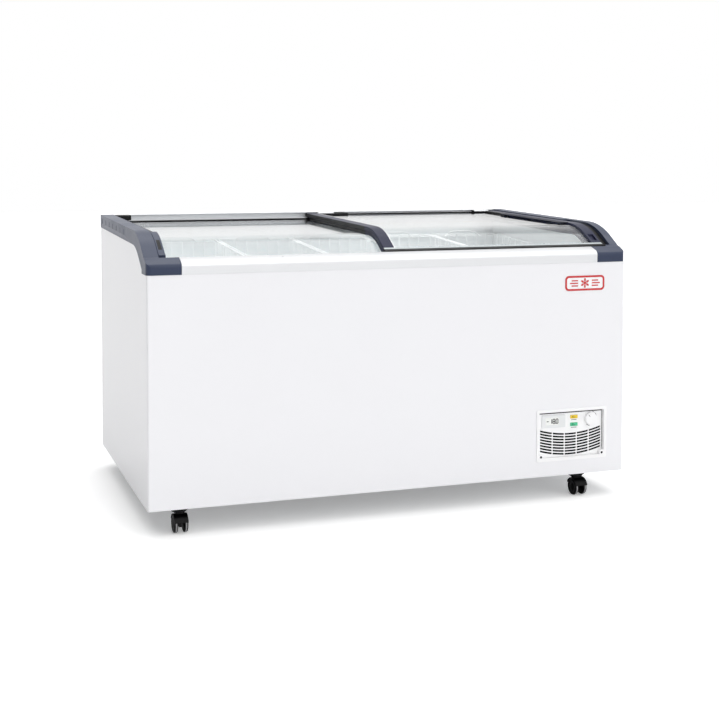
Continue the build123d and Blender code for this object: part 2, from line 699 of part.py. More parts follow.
# ---------------------------------------------------------------- baskets
# ledges on the liner that the baskets hang on, the rear one higher
LEDGE_REACH = 19.0
with BuildPart() as basket_ledges:
    for wall, rim in ((-1, BASKET_FRONT_RIM), (1, BASKET_REAR_RIM)):
        top = rim - HOOK_DROP
        with BuildSketch(Plane.YZ.offset(-CAVITY_X)):
            with BuildLine():
                Polyline(
                    (wall * CAVITY_Y, top),
                    (wall * (CAVITY_Y - LEDGE_REACH), top),
                    (wall * (CAVITY_Y - LEDGE_REACH), top - 2),
                    (wall * (CAVITY_Y - 2), top - 2),
                    (wall * (CAVITY_Y - 2), top - 18),
                    (wall * CAVITY_Y, top - 18),
                    close=True,
                )
            make_face()
        extrude(amount=2 * CAVITY_X)
save(basket_ledges, "basket_ledges")

# one basket: an open tray whose rim rises to the rear, with a lip at each end that hangs on a ledge
with BuildPart() as basket:
    with BuildSketch(Plane.YZ.offset(-BASKET_W / 2)):
        with BuildLine():
            Polyline(
                (-BASKET_D / 2, BASKET_FLOOR),
                (BASKET_D / 2, BASKET_FLOOR),
                (BASKET_D / 2, BASKET_REAR_RIM),
                (-BASKET_D / 2, BASKET_FRONT_RIM),
                close=True,
            )
        make_face()
    extrude(amount=BASKET_W)
    with BuildSketch(Plane.XY.offset(BASKET_FLOOR + BASKET_WALL)):
        Rectangle(BASKET_W - 2 * BASKET_WALL, BASKET_D - 2 * BASKET_WALL)
    extrude(amount=BASKET_REAR_RIM - BASKET_FLOOR, mode=Mode.SUBTRACT)
    for wall, rim in ((-1, BASKET_FRONT_RIM), (1, BASKET_REAR_RIM)):
        with BuildSketch(Plane.XY.offset(rim - HOOK_DROP)):
            with Locations((0, wall * (BASKET_D + HOOK_REACH) / 2)):
                Rectangle(BASKET_W - 40, HOOK_REACH)
        extrude(amount=4)

# five baskets side by side
for number in range(BASKET_COUNT):
    shift = BASKET_LEFT + BASKET_W / 2 + number * BASKET_PITCH
    piece = basket.part.moved(Location((shift, 0, 0)))
    piece.label = f"basket_{number + 1}"
    export_step(piece, f"parts/basket_{number + 1}.step")


# ---------------------------------------------------------------- service panel
def on_front(distance):
    """Upright plane facing the front, this far behind the front face; its sketches use X and Z."""
    return Plane.XZ.offset(-(FRONT + distance))


SCREW_XS, SCREW_Z = (462.5, 673.5), 133.0
with BuildPart() as panel_bezel:
    with BuildSketch(on_front(0)):
        with Locations((PANEL_X, PANEL_Z)):
            RectangleRounded(PANEL_W, PANEL_H, 6)
            Rectangle(PANEL_W - 2 * PANEL_RIM, PANEL_H - 2 * PANEL_RIM, mode=Mode.SUBTRACT)
    extrude(amount=-1.9)
    with BuildSketch(on_front(1.9)):
        with Locations((PANEL_X, PANEL_Z)):
            Rectangle(PANEL_W - 16.5, PANEL_H - 16.5)
            Rectangle(PANEL_W - 2 * PANEL_RIM - 1.6, PANEL_H - 2 * PANEL_RIM - 1.6, mode=Mode.SUBTRACT)
    extrude(amount=-14)
    # rounded lugs in the lower corners, with recessed screw holes
    with BuildSketch(on_front(0)):
        with Locations(*[(x, SCREW_Z) for x in SCREW_XS]):
            Circle(9)
        with Locations((PANEL_X, PANEL_Z)):
            Rectangle(PANEL_W - 17, PANEL_H - 17, mode=Mode.INTERSECT)
    extrude(amount=-RECESS + 0.3)
    with BuildSketch(on_front(0)):
        with Locations(*[(x, SCREW_Z) for x in SCREW_XS]):
            Circle(4)
    extrude(amount=-2.2, mode=Mode.SUBTRACT)
    with BuildSketch(on_front(0)):
        with Locations(*[(x, SCREW_Z) for x in SCREW_XS]):
            Circle(2.2)
    extrude(amount=-16, mode=Mode.SUBTRACT)
save(panel_bezel, "panel_bezel")

PLATE = 2.5
DISPLAY_X, DISPLAY_Z, DISPLAY_W, DISPLAY_H = 509.0, 238.5, 81.0, 39.0
LENS_X, LENS_Z, LENS_W, LENS_H = 504.0, 239.0, 46.0, 23.0
LAMP_X, LAMP_W, LAMP_H = 580.0, 25.0, 11.0
LAMP_ZS = (248.5, 225.0)
slot_step = (SLOT_X1 - SLOT_X0) / SLOT_COLUMNS
with BuildPart() as grille_panel:
    with BuildSketch(on_front(RECESS)):
        with Locations((PANEL_X, PANEL_Z)):
            Rectangle(PANEL_W - 2 * PANEL_RIM - 2.2, PANEL_H - 2 * PANEL_RIM - 2.2)
        with Locations((KNOB_X, KNOB_Z)):
            Circle(SHAFT_R + 1.2, mode=Mode.SUBTRACT)
        with Locations((DISPLAY_X, DISPLAY_Z)):
            Rectangle(DISPLAY_W - 8, DISPLAY_H - 8, mode=Mode.SUBTRACT)
        with Locations(*[(LAMP_X, z) for z in LAMP_ZS]):
            Rectangle(LAMP_W, LAMP_H, mode=Mode.SUBTRACT)
        with Locations(*[(x, SCREW_Z) for x in SCREW_XS]):
            Circle(3.2, mode=Mode.SUBTRACT)
    extrude(amount=-PLATE)
    # air slots: rows of one sagging arc, parted into columns by upright ribs
    for row in range(SLOT_ROWS):
        centre_z = SLOT_TOP_Z + SLOT_RADIUS - row * SLOT_PITCH
        with BuildSketch(on_front(RECESS)):
            with Locations((SLOT_LOW_X, centre_z)):
                Circle(SLOT_RADIUS + SLOT_H / 2)
                Circle(SLOT_RADIUS - SLOT_H / 2, mode=Mode.SUBTRACT)
            with Locations(((SLOT_X0 + SLOT_X1) / 2, 150)):
                Rectangle(SLOT_X1 - SLOT_X0, 160, mode=Mode.INTERSECT)
            for rib in range(1, SLOT_COLUMNS):
                with Locations((SLOT_X0 + rib * slot_step, 150)):
                    Rectangle(SLOT_RIB, 200, mode=Mode.SUBTRACT)
        extrude(amount=-PLATE, mode=Mode.SUBTRACT)
save(grille_panel, "grille_panel")

with BuildPart() as display_module:
    with BuildSketch(on_front(7)):
        with Locations((DISPLAY_X, DISPLAY_Z)):
            RectangleRounded(DISPLAY_W, DISPLAY_H, 3)
        with Locations((LENS_X, LENS_Z)):
            Rectangle(LENS_W, LENS_H, mode=Mode.SUBTRACT)
    extrude(amount=-3)
    with BuildSketch(on_front(10)):
        with Locations((DISPLAY_X, DISPLAY_Z)):
            Rectangle(DISPLAY_W - 8.4, DISPLAY_H - 8.4)
    extrude(amount=-18)
save(display_module, "display_module")

with BuildPart() as display_lens:
    with BuildSketch(on_front(7.6)):
        with Locations((LENS_X, LENS_Z)):
            Rectangle(LENS_W, LENS_H)
    extrude(amount=-2.4)
save(display_lens, "display_lens")

for lamp_z, lamp_name in zip(LAMP_ZS, ("power_lamp", "compressor_lamp")):
    with BuildPart() as lamp:
        with BuildSketch(on_front(8)):
            with Locations((LAMP_X, lamp_z)):
                Rectangle(LAMP_W - 0.4, LAMP_H - 0.4)
        extrude(amount=-14)
        fillet(lamp.edges().filter_by(Axis.X).group_by(Axis.Y)[0], 0.8)
    save(lamp, lamp_name)

with BuildPart() as panel_screws:
    for screw_x in SCREW_XS:
        with BuildSketch(on_front(0.7)):
            with Locations((screw_x, SCREW_Z)):
                Circle(3.6)
        extrude(amount=-1.5)
        with BuildSketch(on_front(0.7)):
            with Locations((screw_x, SCREW_Z)):
                Rectangle(4.6, 0.9)
                Rectangle(0.9, 4.6)
        extrude(amount=-0.8, mode=Mode.SUBTRACT)
        with BuildSketch(on_front(2.2)):
            with Locations((screw_x, SCREW_Z)):
                Circle(2.0)
        extrude(amount=-20)
save(panel_screws, "panel_screws")

BODY_FRONT = 13.0  # the thermostat's face, behind the panel
with BuildPart() as thermostat_body:
    with BuildSketch(on_front(BODY_FRONT)):
        with Locations((KNOB_X, KNOB_Z)):
            RectangleRounded(38, 32, 2)
    extrude(amount=-26)
    with BuildSketch(on_front(BODY_FRONT)):
        with Locations((KNOB_X, KNOB_Z)):
            Circle(SHAFT_R + RUNNING)
    extrude(amount=-12, mode=Mode.SUBTRACT)
save(thermostat_body, "thermostat_body")

with BuildPart() as thermostat_knob:
    with BuildSketch(on_front(3)):
        with Locations((KNOB_X, KNOB_Z)):
            Circle(KNOB_R)
    extrude(amount=-6.5)
    fillet(thermostat_knob.edges().filter_by(GeomType.CIRCLE).group_by(Axis.Y)[0], 1.2)
    # pointer groove
    with BuildSketch(on_front(3)):
        with Locations((KNOB_X - 7, KNOB_Z + 9)):
            RectangleRounded(2, 9, 0.9, rotation=38)
    extrude(amount=-0.6, mode=Mode.SUBTRACT)
    with BuildSketch(on_front(9.5)):
        with Locations((KNOB_X, KNOB_Z)):
            Circle(SHAFT_R)
    extrude(amount=-14)
save(thermostat_knob, "thermostat_knob")

with BuildPart() as badge_plate:
    with BuildSketch(on_front(1.0)):
        with Locations((609, 661)):
            RectangleRounded(136, 46, 12)
    extrude(amount=-1.0)
save(badge_plate, "badge_plate")


# ---------------------------------------------------------------- cold system in the machine bay
def bent_tube(points, radius, bend):
    """Copper tube along straight runs joined by bends."""
    with BuildPart() as tube:
        with BuildLine():
            FilletPolyline(*points, radius=bend)
        start = Vector(*points[0])
        heading = Vector(*points[1]) - start
        with BuildSketch(Plane(origin=start, z_dir=heading)):
            Circle(radius)
        sweep()
    return tube


FLOOR = BOTTOM + 2
COMP_X, COMP_Y, COMP_R = 600.0, 255.0, 78.0
with BuildPart() as compressor:
    with BuildSketch(Plane.XY.offset(FLOOR + 18)):
        with Locations((COMP_X, COMP_Y)):
            Circle(COMP_R)
    extrude(amount=160)
    fillet(compressor.edges().filter_by(GeomType.CIRCLE).group_by(Axis.Z)[-1], 46)
    fillet(compressor.edges().filter_by(GeomType.CIRCLE).group_by(Axis.Z)[0], 14)
    # weld seam of the two shells
    with BuildSketch(Plane.XY.offset(FLOOR + 84)):
        with Locations((COMP_X, COMP_Y)):
            Circle(COMP_R + 3)
    extrude(amount=5)
    # foot plate
    with BuildSketch(Plane.XY.offset(FLOOR + 15)):
        with Locations((COMP_X, COMP_Y)):
            RectangleRounded(200, 150, 20)
            with GridLocations(170, 120, 2, 2):
                Circle(8, mode=Mode.SUBTRACT)
    extrude(amount=3)
save(compressor, "compressor")

with BuildPart() as compressor_mounts:
    for corner_x in (-85, 85):
        for corner_y in (-60, 60):
            with BuildSketch(Plane.XY.offset(FLOOR)):
                with Locations((COMP_X + corner_x, COMP_Y + corner_y)):
                    Circle(13)
            extrude(amount=15)
            with BuildSketch(Plane.XY.offset(FLOOR + 15)):
                with Locations((COMP_X + corner_x, COMP_Y + corner_y)):
                    Circle(7.8)
            extrude(amount=9)
save(compressor_mounts, "compressor_mounts")

with BuildPart() as relay_box:
    with BuildSketch(Plane.XZ.offset(-(COMP_Y - COMP_R - 40))):
        with Locations((COMP_X, FLOOR + 92)):
            RectangleRounded(64, 74, 4)
    extrude(amount=-33)
save(relay_box, "relay_box")

COIL_Y0, COIL_DEPTH = -345.0, 44.0
with BuildPart() as condenser:
    with BuildSketch(Plane.XZ.offset(-COIL_Y0)):
        with Locations((578, 152)):
            Rectangle(224, 124)
    extrude(amount=-COIL_DEPTH)
    # the fins, as a pack of plates with air gaps
    with BuildSketch(Plane.XZ.offset(-COIL_Y0)):
        with Locations((578, 152)):
            with GridLocations(8, 1, 27, 1):
                Rectangle(4, 114)
    extrude(amount=-6, mode=Mode.SUBTRACT)
    for tube_row in range(4):
        with BuildSketch(Plane.YZ.offset(462)):
            with Locations((COIL_Y0 + COIL_DEPTH / 2, 104 + 30 * tube_row)):
                Circle(4.5)
        extrude(amount=232)
    with BuildSketch(Plane.XZ.offset(-COIL_Y0)):
        with Locations((578, FLOOR + 8)):
            Rectangle(228, 16)
    extrude(amount=-COIL_DEPTH)
save(condenser, "condenser")

FAN_X, FAN_Z, FAN_Y, FAN_R = 578.0, 158.0, -268.0, 66.0
with BuildPart() as fan_shroud:
    with BuildSketch(Plane.XZ.offset(-(FAN_Y - 20))):
        with Locations((FAN_X, FAN_Z)):
            RectangleRounded(170, 160, 10)
            Circle(FAN_R + 4, mode=Mode.SUBTRACT)
    extrude(amount=-2)
    with BuildSketch(Plane.XZ.offset(-(FAN_Y - 20))):
        with Locations((FAN_X, FAN_Z)):
            Circle(FAN_R + 6)
            Circle(FAN_R + 4, mode=Mode.SUBTRACT)
    extrude(amount=-38)
    # arms that carry the motor behind the blades
    with BuildSketch(Plane.XZ.offset(-(FAN_Y + 16))):
        with Locations((FAN_X, FAN_Z)):
            Rectangle(2 * FAN_R + 10, 10)
            Rectangle(10, 2 * FAN_R + 10)
            Circle(22)
            Circle(8, mode=Mode.SUBTRACT)
    extrude(amount=-2)
    with BuildSketch(Plane.XY.offset(FLOOR)):
        with Locations((FAN_X, FAN_Y - 10)):
            Rectangle(120, 20)
    extrude(amount=FAN_Z - 80 - FLOOR + 4)
save(fan_shroud, "fan_shroud")

with BuildPart() as fan_motor:
    with BuildSketch(Plane.XZ.offset(-(FAN_Y + 18))):
        with Locations((FAN_X, FAN_Z)):
            Circle(30)
    extrude(amount=-46)
    fillet(fan_motor.edges().filter_by(GeomType.CIRCLE), 4)
    with BuildSketch(Plane.XZ.offset(-(FAN_Y - 6))):
        with Locations((FAN_X, FAN_Z)):
            Circle(2.5)
    extrude(amount=-24)
save(fan_motor, "fan_motor")

BLADES = 5
with BuildPart() as fan_blade:
    with BuildSketch(Plane.XZ.offset(-(FAN_Y - 10))):
        with Locations((FAN_X, FAN_Z)):
            Circle(16)
    extrude(amount=-20)
    for blade in range(BLADES):
        with Locations(Location((FAN_X, FAN_Y, FAN_Z), (0, 360 / BLADES * blade, 0))):
            with Locations(Location((37, 0, 0), (32, 0, 0))):
                Box(50, 2, 40)
    with BuildSketch(Plane.XZ.offset(-(FAN_Y - 7))):
        with Locations((FAN_X, FAN_Z)):
            Circle(2.5 + RUNNING)
    extrude(amount=-17, mode=Mode.SUBTRACT)
save(fan_blade, "fan_blade")

DRIER_X = 725.0
with BuildPart() as filter_drier:
    with BuildSketch(Plane.XZ.offset(-20)):
        with BuildLine():
            Polyline(
                (DRIER_X, 180),
                (DRIER_X + 3, 180),
                (DRIER_X + 3, 196),
                (DRIER_X + 10, 204),
                (DRIER_X + 10, 266),
                (DRIER_X + 3, 274),
                (DRIER_X + 3, 284),
                (DRIER_X, 284),
                close=True,
            )
        make_face()
    revolve(axis=Axis((DRIER_X, 20, 0), (0, 0, 1)))
save(filter_drier, "filter_drier")

discharge_tube = bent_tube(
    [
        (COMP_X + 40, COMP_Y - COMP_R - 1, FLOOR + 150),
        (COMP_X + 40, COMP_Y - 130, FLOOR + 150),
        (700, COMP_Y - 130, FLOOR + 150),
        (700, -318, FLOOR + 150),
        (700, -318, 204),
    ],
    3.5,
    14,
)
save(discharge_tube, "discharge_tube")

suction_tube = bent_tube(
    [
        (COMP_X - 40, COMP_Y - COMP_R - 1, FLOOR + 150),
        (COMP_X - 40, COMP_Y - 125, FLOOR + 150),
        (480, COMP_Y - 125, FLOOR + 150),
        (480, COMP_Y - 125, BAY_TOP - 3),
    ],
    4.5,
    16,
)
save(suction_tube, "suction_tube")

# mains inlet: the gland in the back panel and its terminal box
with BuildPart() as mains_gland:
    with BuildSketch(Plane.XZ.offset(-BACK)):
        with Locations((465, 110)):
            Circle(8.9)
            Circle(4.2, mode=Mode.SUBTRACT)
    extrude(amount=16)
    with BuildSketch(Plane.XZ.offset(-(SKIN_BACK - SHEET - 0.2))):
        with Locations((465, 110)):
            RegularPolygon(13, 6)
            Circle(4.2, mode=Mode.SUBTRACT)
    extrude(amount=8)
save(mains_gland, "mains_gland")


# ---------------------------------------------------------------- drain
with BuildPart() as drain_tube:
    with BuildSketch(Plane.XY.offset(BOTTOM - 6)):
        with Locations((DRAIN_X, DRAIN_Y)):
            Circle(12)
            Circle(9.5, mode=Mode.SUBTRACT)
    extrude(amount=CAVITY_FLOOR - LINER - BOTTOM + 6 + LINER)
save(drain_tube, "drain_tube")

with BuildPart() as drain_plug:
    with BuildSketch(Plane.XY.offset(CAVITY_FLOOR + 0.1)):
        with Locations((DRAIN_X, DRAIN_Y)):
            Circle(15)
    extrude(amount=3)
    with BuildSketch(Plane.XY.offset(CAVITY_FLOOR - 14)):
        with Locations((DRAIN_X, DRAIN_Y)):
            Circle(9.42)
    extrude(amount=14.1)
    with BuildSketch(Plane.XZ.offset(-DRAIN_Y)):
        with Locations((DRAIN_X, CAVITY_FLOOR + 3)):
            with Locations((0, 6)):
                Circle(7)
                Circle(4, mode=Mode.SUBTRACT)
            with Locations((0, -12)):
                Rectangle(30, 12.2, mode=Mode.SUBTRACT)
    extrude(amount=1.5, both=True)
save(drain_plug, "drain_plug")


# ---------------------------------------------------------------- casters
STEM_R = 6.0
PLATE_T = 3.0
AXLE_R = 3.0
with BuildPart() as caster_plates:
    with BuildSketch(Plane.XY.offset(BOTTOM - PLATE_T)):
        with Locations(*CASTERS.values()):
            RectangleRounded(54, 50, 5)
            Circle(STEM_R + RUNNING, mode=Mode.SUBTRACT)
            with GridLocations(38, 34, 2, 2):
                Circle(3.0, mode=Mode.SUBTRACT)
    extrude(amount=PLATE_T)
save(caster_plates, "caster_plates")


def caster_fork(x, y):
    """Swivel yoke between the two wheels, with its stem, its hood and the axle's bearing."""
    wheel_y = y + math.copysign(CASTER_TRAIL, y)
    with BuildPart() as fork:
        # round head under the plate
        with BuildSketch(Plane.XY.offset(BOTTOM - PLATE_T - 5.5)):
            with Locations((x, y)):
                Circle(19)
        extrude(amount=5)
        with BuildSketch(Plane.XY.offset(BOTTOM - PLATE_T - 1)):
            with Locations((x, y)):
                Circle(STEM_R)
        extrude(amount=PLATE_T + 0.6)
        # web between the wheels
        with BuildSketch(Plane.YZ.offset(x - WHEEL_GAP / 2 + 0.5)):
            with BuildLine():
                Polyline(
                    (y - 16, BOTTOM - PLATE_T - 4),
                    (y - 12, 40),
                    (wheel_y - 8, 16),
                    (wheel_y + 8, 16),
                    (wheel_y + 16, 34),
                    (y + 18, BOTTOM - PLATE_T - 4),
                    close=True,
                )
            make_face()
        extrude(amount=WHEEL_GAP - 1)
        # axle bearing
        with BuildSketch(Plane.YZ.offset(x - WHEEL_GAP / 2)):
            with Locations((wheel_y, WHEEL_R)):
                Circle(AXLE_R + RUNNING)
        extrude(amount=WHEEL_GAP, mode=Mode.SUBTRACT)
        # hood over the wheels
        hood = WHEEL_R + 3.5
        with BuildSketch(Plane.YZ.offset(x - WHEEL_GAP / 2 - WHEEL_W)):
            with Locations((wheel_y, WHEEL_R)):
                Circle(hood)
                Circle(WHEEL_R + 1.5, mode=Mode.SUBTRACT)
                with Locations((0, 8)):
                    Rectangle(80, 200, align=(Align.CENTER, Align.MAX), mode=Mode.SUBTRACT)
        extrude(amount=WHEEL_GAP + 2 * WHEEL_W)
        # the hood's crown reaches up to the head
        with BuildSketch(Plane.XY.offset(WHEEL_R + hood - 1.5)):
            with Locations((x, (y + wheel_y) / 2)):
                Rectangle(26, 24)
        extrude(amount=BOTTOM - PLATE_T - 5 - WHEEL_R - hood + 1.5)
    return fork


def caster_wheels(x, y):
    """Twin wheels on one axle."""
    wheel_y = y + math.copysign(CASTER_TRAIL, y)
    with BuildPart() as pair:
        with BuildSketch(Plane.YZ.offset(x - WHEEL_GAP / 2 - WHEEL_W + 1)):
            with Locations((wheel_y, WHEEL_R)):
                Circle(AXLE_R)
        extrude(amount=WHEEL_GAP + 2 * WHEEL_W - 2)
        for outward in (-1, 1):
            inner = x + outward * (WHEEL_GAP / 2 + 0.3)
            with BuildSketch(Plane.YZ.offset(inner)):
                with Locations((wheel_y, WHEEL_R)):
                    Circle(WHEEL_R)
            extrude(amount=outward * (WHEEL_W - 0.3))
            rim = pair.edges().filter_by(GeomType.CIRCLE)
            rim = [e for e in rim if abs(e.radius - WHEEL_R) < 0.01]
            rim = [e for e in rim if abs(e.center().X - (inner + outward * (WHEEL_W - 0.3))) < 0.01]
            fillet(rim, 2.5)
            with BuildSketch(Plane.YZ.offset(x + outward * (WHEEL_GAP / 2 + WHEEL_W))):
                with Locations((wheel_y, WHEEL_R)):
                    Circle(WHEEL_R - 7)
                    Circle(7, mode=Mode.SUBTRACT)
            extrude(amount=-outward * 2, mode=Mode.SUBTRACT)
    return pair


for corner, (caster_x, caster_y) in CASTERS.items():
    save(caster_fork(caster_x, caster_y), f"caster_fork_{corner}")
    save(caster_wheels(caster_x, caster_y), f"caster_wheels_{corner}")
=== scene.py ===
"""The display freezer's looks, in metres: camera, light, materials and detailed pieces on the model."""

import json
import math

import bmesh
import bpy
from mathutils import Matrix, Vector


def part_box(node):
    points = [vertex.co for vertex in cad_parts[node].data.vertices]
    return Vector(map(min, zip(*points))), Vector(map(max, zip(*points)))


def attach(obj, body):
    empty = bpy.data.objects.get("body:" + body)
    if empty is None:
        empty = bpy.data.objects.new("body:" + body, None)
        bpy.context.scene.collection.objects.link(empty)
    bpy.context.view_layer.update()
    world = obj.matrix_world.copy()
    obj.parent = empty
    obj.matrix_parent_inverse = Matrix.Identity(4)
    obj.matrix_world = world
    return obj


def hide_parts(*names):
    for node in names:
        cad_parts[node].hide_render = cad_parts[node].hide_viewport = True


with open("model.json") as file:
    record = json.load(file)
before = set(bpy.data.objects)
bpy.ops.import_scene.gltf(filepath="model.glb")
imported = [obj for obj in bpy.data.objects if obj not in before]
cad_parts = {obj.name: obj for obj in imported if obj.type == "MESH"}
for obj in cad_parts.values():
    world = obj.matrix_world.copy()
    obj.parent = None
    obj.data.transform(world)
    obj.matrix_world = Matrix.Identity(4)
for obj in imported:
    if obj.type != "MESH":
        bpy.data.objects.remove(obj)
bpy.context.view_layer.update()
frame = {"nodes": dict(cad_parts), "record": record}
nodes = frame["nodes"]
slot_of = {part["node"]: part["material_slot"] for part in frame["record"]["subparts"]}
body_of = {node: body for body, group in frame["record"]["behaviour"]["bodies"].items() for node in group}

WHITE = (1, 1, 1, 1)


def link(piece):
    bpy.context.scene.collection.objects.link(piece)
    return piece


# ---------------------------------------------------------------- camera and light
SENSOR_MM, LENS_MM = 36.0, 58.92
LENS_SHIFT = (0.1143, -0.2067)
CAMERA_AT = (-1.3466, -3.5644, 1.0386)
TILT_DOWN, ROLL, TURN_RIGHT = 2.475, 0.077, 17.094  # degrees

DIM_SIDE, BRIGHT_SIDE = 0.15, 0.9  # strength of the surround on the left and on the right
FADE_START, FADE_END = -0.6, 0.5  # where it grows from one to the other, along X
BACKDROP = 1.0

WELL_LIGHT_SIZE = (1.3, 0.55)
WELL_LIGHT_HEIGHT = 0.8
SUN_HEIGHT = 4


def place_camera():
    data = bpy.data.cameras.new("camera")
    data.sensor_width = SENSOR_MM
    data.lens = LENS_MM
    data.shift_x, data.shift_y = LENS_SHIFT
    camera = link(bpy.data.objects.new("camera", data))
    camera.location = CAMERA_AT
    camera.rotation_euler = [math.radians(turn) for turn in (90 - TILT_DOWN, ROLL, -TURN_RIGHT)]
    bpy.context.scene.camera = camera


def graded_light(tree):
    """Surrounding light that grows from left to right."""
    coords = tree.nodes.new("ShaderNodeTexCoord")
    split = tree.nodes.new("ShaderNodeSeparateXYZ")
    tree.links.new(coords.outputs["Generated"], split.inputs[0])
    strength = spread(tree, split.outputs["X"], DIM_SIDE, BRIGHT_SIDE, FADE_START, FADE_END)
    lighting = tree.nodes.new("ShaderNodeBackground")
    tree.links.new(strength, lighting.inputs["Strength"])
    return lighting.outputs[0]


def seen_or_mirrored(tree):
    """1 for what the camera or a glossy face sees, and 0 for light that falls on a surface."""
    path = tree.nodes.new("ShaderNodeLightPath")
    either = tree.nodes.new("ShaderNodeMath")
    either.operation = "MAXIMUM"
    tree.links.new(path.outputs["Is Camera Ray"], either.inputs[0])
    tree.links.new(path.outputs["Is Glossy Ray"], either.inputs[1])
    return either.outputs[0]


def studio():
    """A white surround that is dimmer on the left; the camera sees it as even white."""
    world = bpy.data.worlds.new("studio")
    bpy.context.scene.world = world
    world.use_nodes = True
    tree = world.node_tree
    tree.nodes.clear()
    backdrop = tree.nodes.new("ShaderNodeBackground")
    backdrop.inputs["Strength"].default_value = BACKDROP
    backdrop.inputs["Color"].default_value = WHITE
    choice = tree.nodes.new("ShaderNodeMixShader")
    tree.links.new(seen_or_mirrored(tree), choice.inputs["Fac"])
    tree.links.new(graded_light(tree), choice.inputs[1])
    tree.links.new(backdrop.outputs[0], choice.inputs[2])
    output = tree.nodes.new("ShaderNodeOutputWorld")
    tree.links.new(choice.outputs[0], output.inputs["Surface"])


def well_light(power):
    """Faint light under the lids, as bounces off the white goods and liner would give."""
    data = bpy.data.lights.new("well_light", "AREA")
    data.shape = "RECTANGLE"
    data.size, data.size_y = WELL_LIGHT_SIZE
    data.energy = power
    light = link(bpy.data.objects.new("well_light", data))
    light.location = (0, 0, WELL_LIGHT_HEIGHT)
    light.visible_camera = False
    light.visible_glossy = False


def soft_sun(name, strength, spread_angle, towards):
    """Soft even light that travels along the given direction."""
    data = bpy.data.lights.new(name, "SUN")
    data.energy = strength
    data.angle = math.radians(spread_angle)
    light = link(bpy.data.objects.new(name, data))
    light.location = (0, 0, SUN_HEIGHT)
    light.rotation_euler = Vector(towards).to_track_quat("-Z", "Y").to_euler()


# ---------------------------------------------------------------- materials
BUMP_DISTANCE = 0.001
COAT_ROUGHNESS = 0.08
DRIFT_DETAIL = 4.0
RELIEF_DETAIL = (3.0, 0.6)  # detail and roughness of the noise
SMUDGES = (9.0, 5.0, 0.6)  # scale, detail and roughness of the noise

GLASS_TINT = (0.988, 0.994, 0.996, 1)
GLASS_SMEARS = (14.0, 4.0, 0.6)
GLASS_ROUGHNESS = (0.02, 0.06)
GLASS_SHEEN = (0.035, 0.9)  # share of mirror when seen square on, and edge on
SHEEN_STEEPNESS = 5.0


def srgb(r, g, b):
    """Linear colour of an 8-bit sRGB one."""
    shares = [c / 255 for c in (r, g, b)]
    return tuple(((c + 0.055) / 1.055) ** 2.4 if c > 0.04045 else c / 12.92 for c in shares) + (1.0,)


def scaled(color, k):
    return tuple(min(1.0, c * k) for c in color[:3]) + (1.0,)


def blank(name):
    material = bpy.data.materials.new(name)
    material.use_nodes = True
    return material, material.node_tree


def noise(tree, scale, detail, roughness=0.5, stretch=None):
    coords = tree.nodes.new("ShaderNodeTexCoord")
    source = coords.outputs["Object"]
    if stretch is not None:
        mapping = tree.nodes.new("ShaderNodeMapping")
        mapping.inputs["Scale"].default_value = stretch
        tree.links.new(source, mapping.inputs["Vector"])
        source = mapping.outputs["Vector"]
    node = tree.nodes.new("ShaderNodeTexNoise")
    node.inputs["Scale"].default_value = scale
    node.inputs["Detail"].default_value = detail
    node.inputs["Roughness"].default_value = roughness
    tree.links.new(source, node.inputs["Vector"])
    return node.outputs["Fac"]


def spread(tree, value, low, high, from_low=0.3, from_high=0.7):
    """The value, mapped from its own range to the range from low to high."""
    node = tree.nodes.new("ShaderNodeMapRange")
    node.inputs["From Min"].default_value = from_low
    node.inputs["From Max"].default_value = from_high
    node.inputs["To Min"].default_value = low
    node.inputs["To Max"].default_value = high
    tree.links.new(value, node.inputs["Value"])
    return node.outputs["Result"]


def blend_colors(tree, factor, dark, light):
    node = tree.nodes.new("ShaderNodeMix")
    node.data_type = "RGBA"
    tree.links.new(factor, node.inputs["Factor"])
    node.inputs["A"].default_value = dark
    node.inputs["B"].default_value = light
    return node.outputs["Result"]


def surface(
    name, color, rough, metallic=0.0, coat=0.0, gloss=0.5,
    blotch=(3.0, 0.03), grain=(600.0, 0.04), stretch=None, vary=0.12,
):
    """A painted, moulded or metal surface: slow colour drift, fine relief and smudged gloss.
    The drift and the relief are each (scale, strength); vary is how far the smudges change the roughness."""
    material, tree = blank(name)
    shader = tree.nodes["Principled BSDF"]
    drift = noise(tree, blotch[0], DRIFT_DETAIL)
    tone = blend_colors(tree, drift, scaled(color, 1 - blotch[1]), scaled(color, 1 + blotch[1]))
    tree.links.new(tone, shader.inputs["Base Color"])
    smudge = noise(tree, *SMUDGES)
    tree.links.new(spread(tree, smudge, rough * (1 - vary), rough * (1 + vary)), shader.inputs["Roughness"])
    bump = tree.nodes.new("ShaderNodeBump")
    bump.inputs["Strength"].default_value = grain[1]
    bump.inputs["Distance"].default_value = BUMP_DISTANCE
    tree.links.new(noise(tree, grain[0], *RELIEF_DETAIL, stretch), bump.inputs["Height"])
    tree.links.new(bump.outputs["Normal"], shader.inputs["Normal"])
    shader.inputs["Metallic"].default_value = metallic
    shader.inputs["Coat Weight"].default_value = coat
    shader.inputs["Specular IOR Level"].default_value = gloss
    shader.inputs["Coat Roughness"].default_value = COAT_ROUGHNESS
    return material


def grazing_sheen(tree):
    """Share of mirror in a pane, which grows towards grazing views."""
    facing = tree.nodes.new("ShaderNodeLayerWeight")
    facing.inputs["Blend"].default_value = 0.5
    steep = tree.nodes.new("ShaderNodeMath")
    steep.operation = "POWER"
    steep.inputs[1].default_value = SHEEN_STEEPNESS
    tree.links.new(facing.outputs["Facing"], steep.inputs[0])
    return spread(tree, steep.outputs[0], *GLASS_SHEEN, 0.0, 1.0)


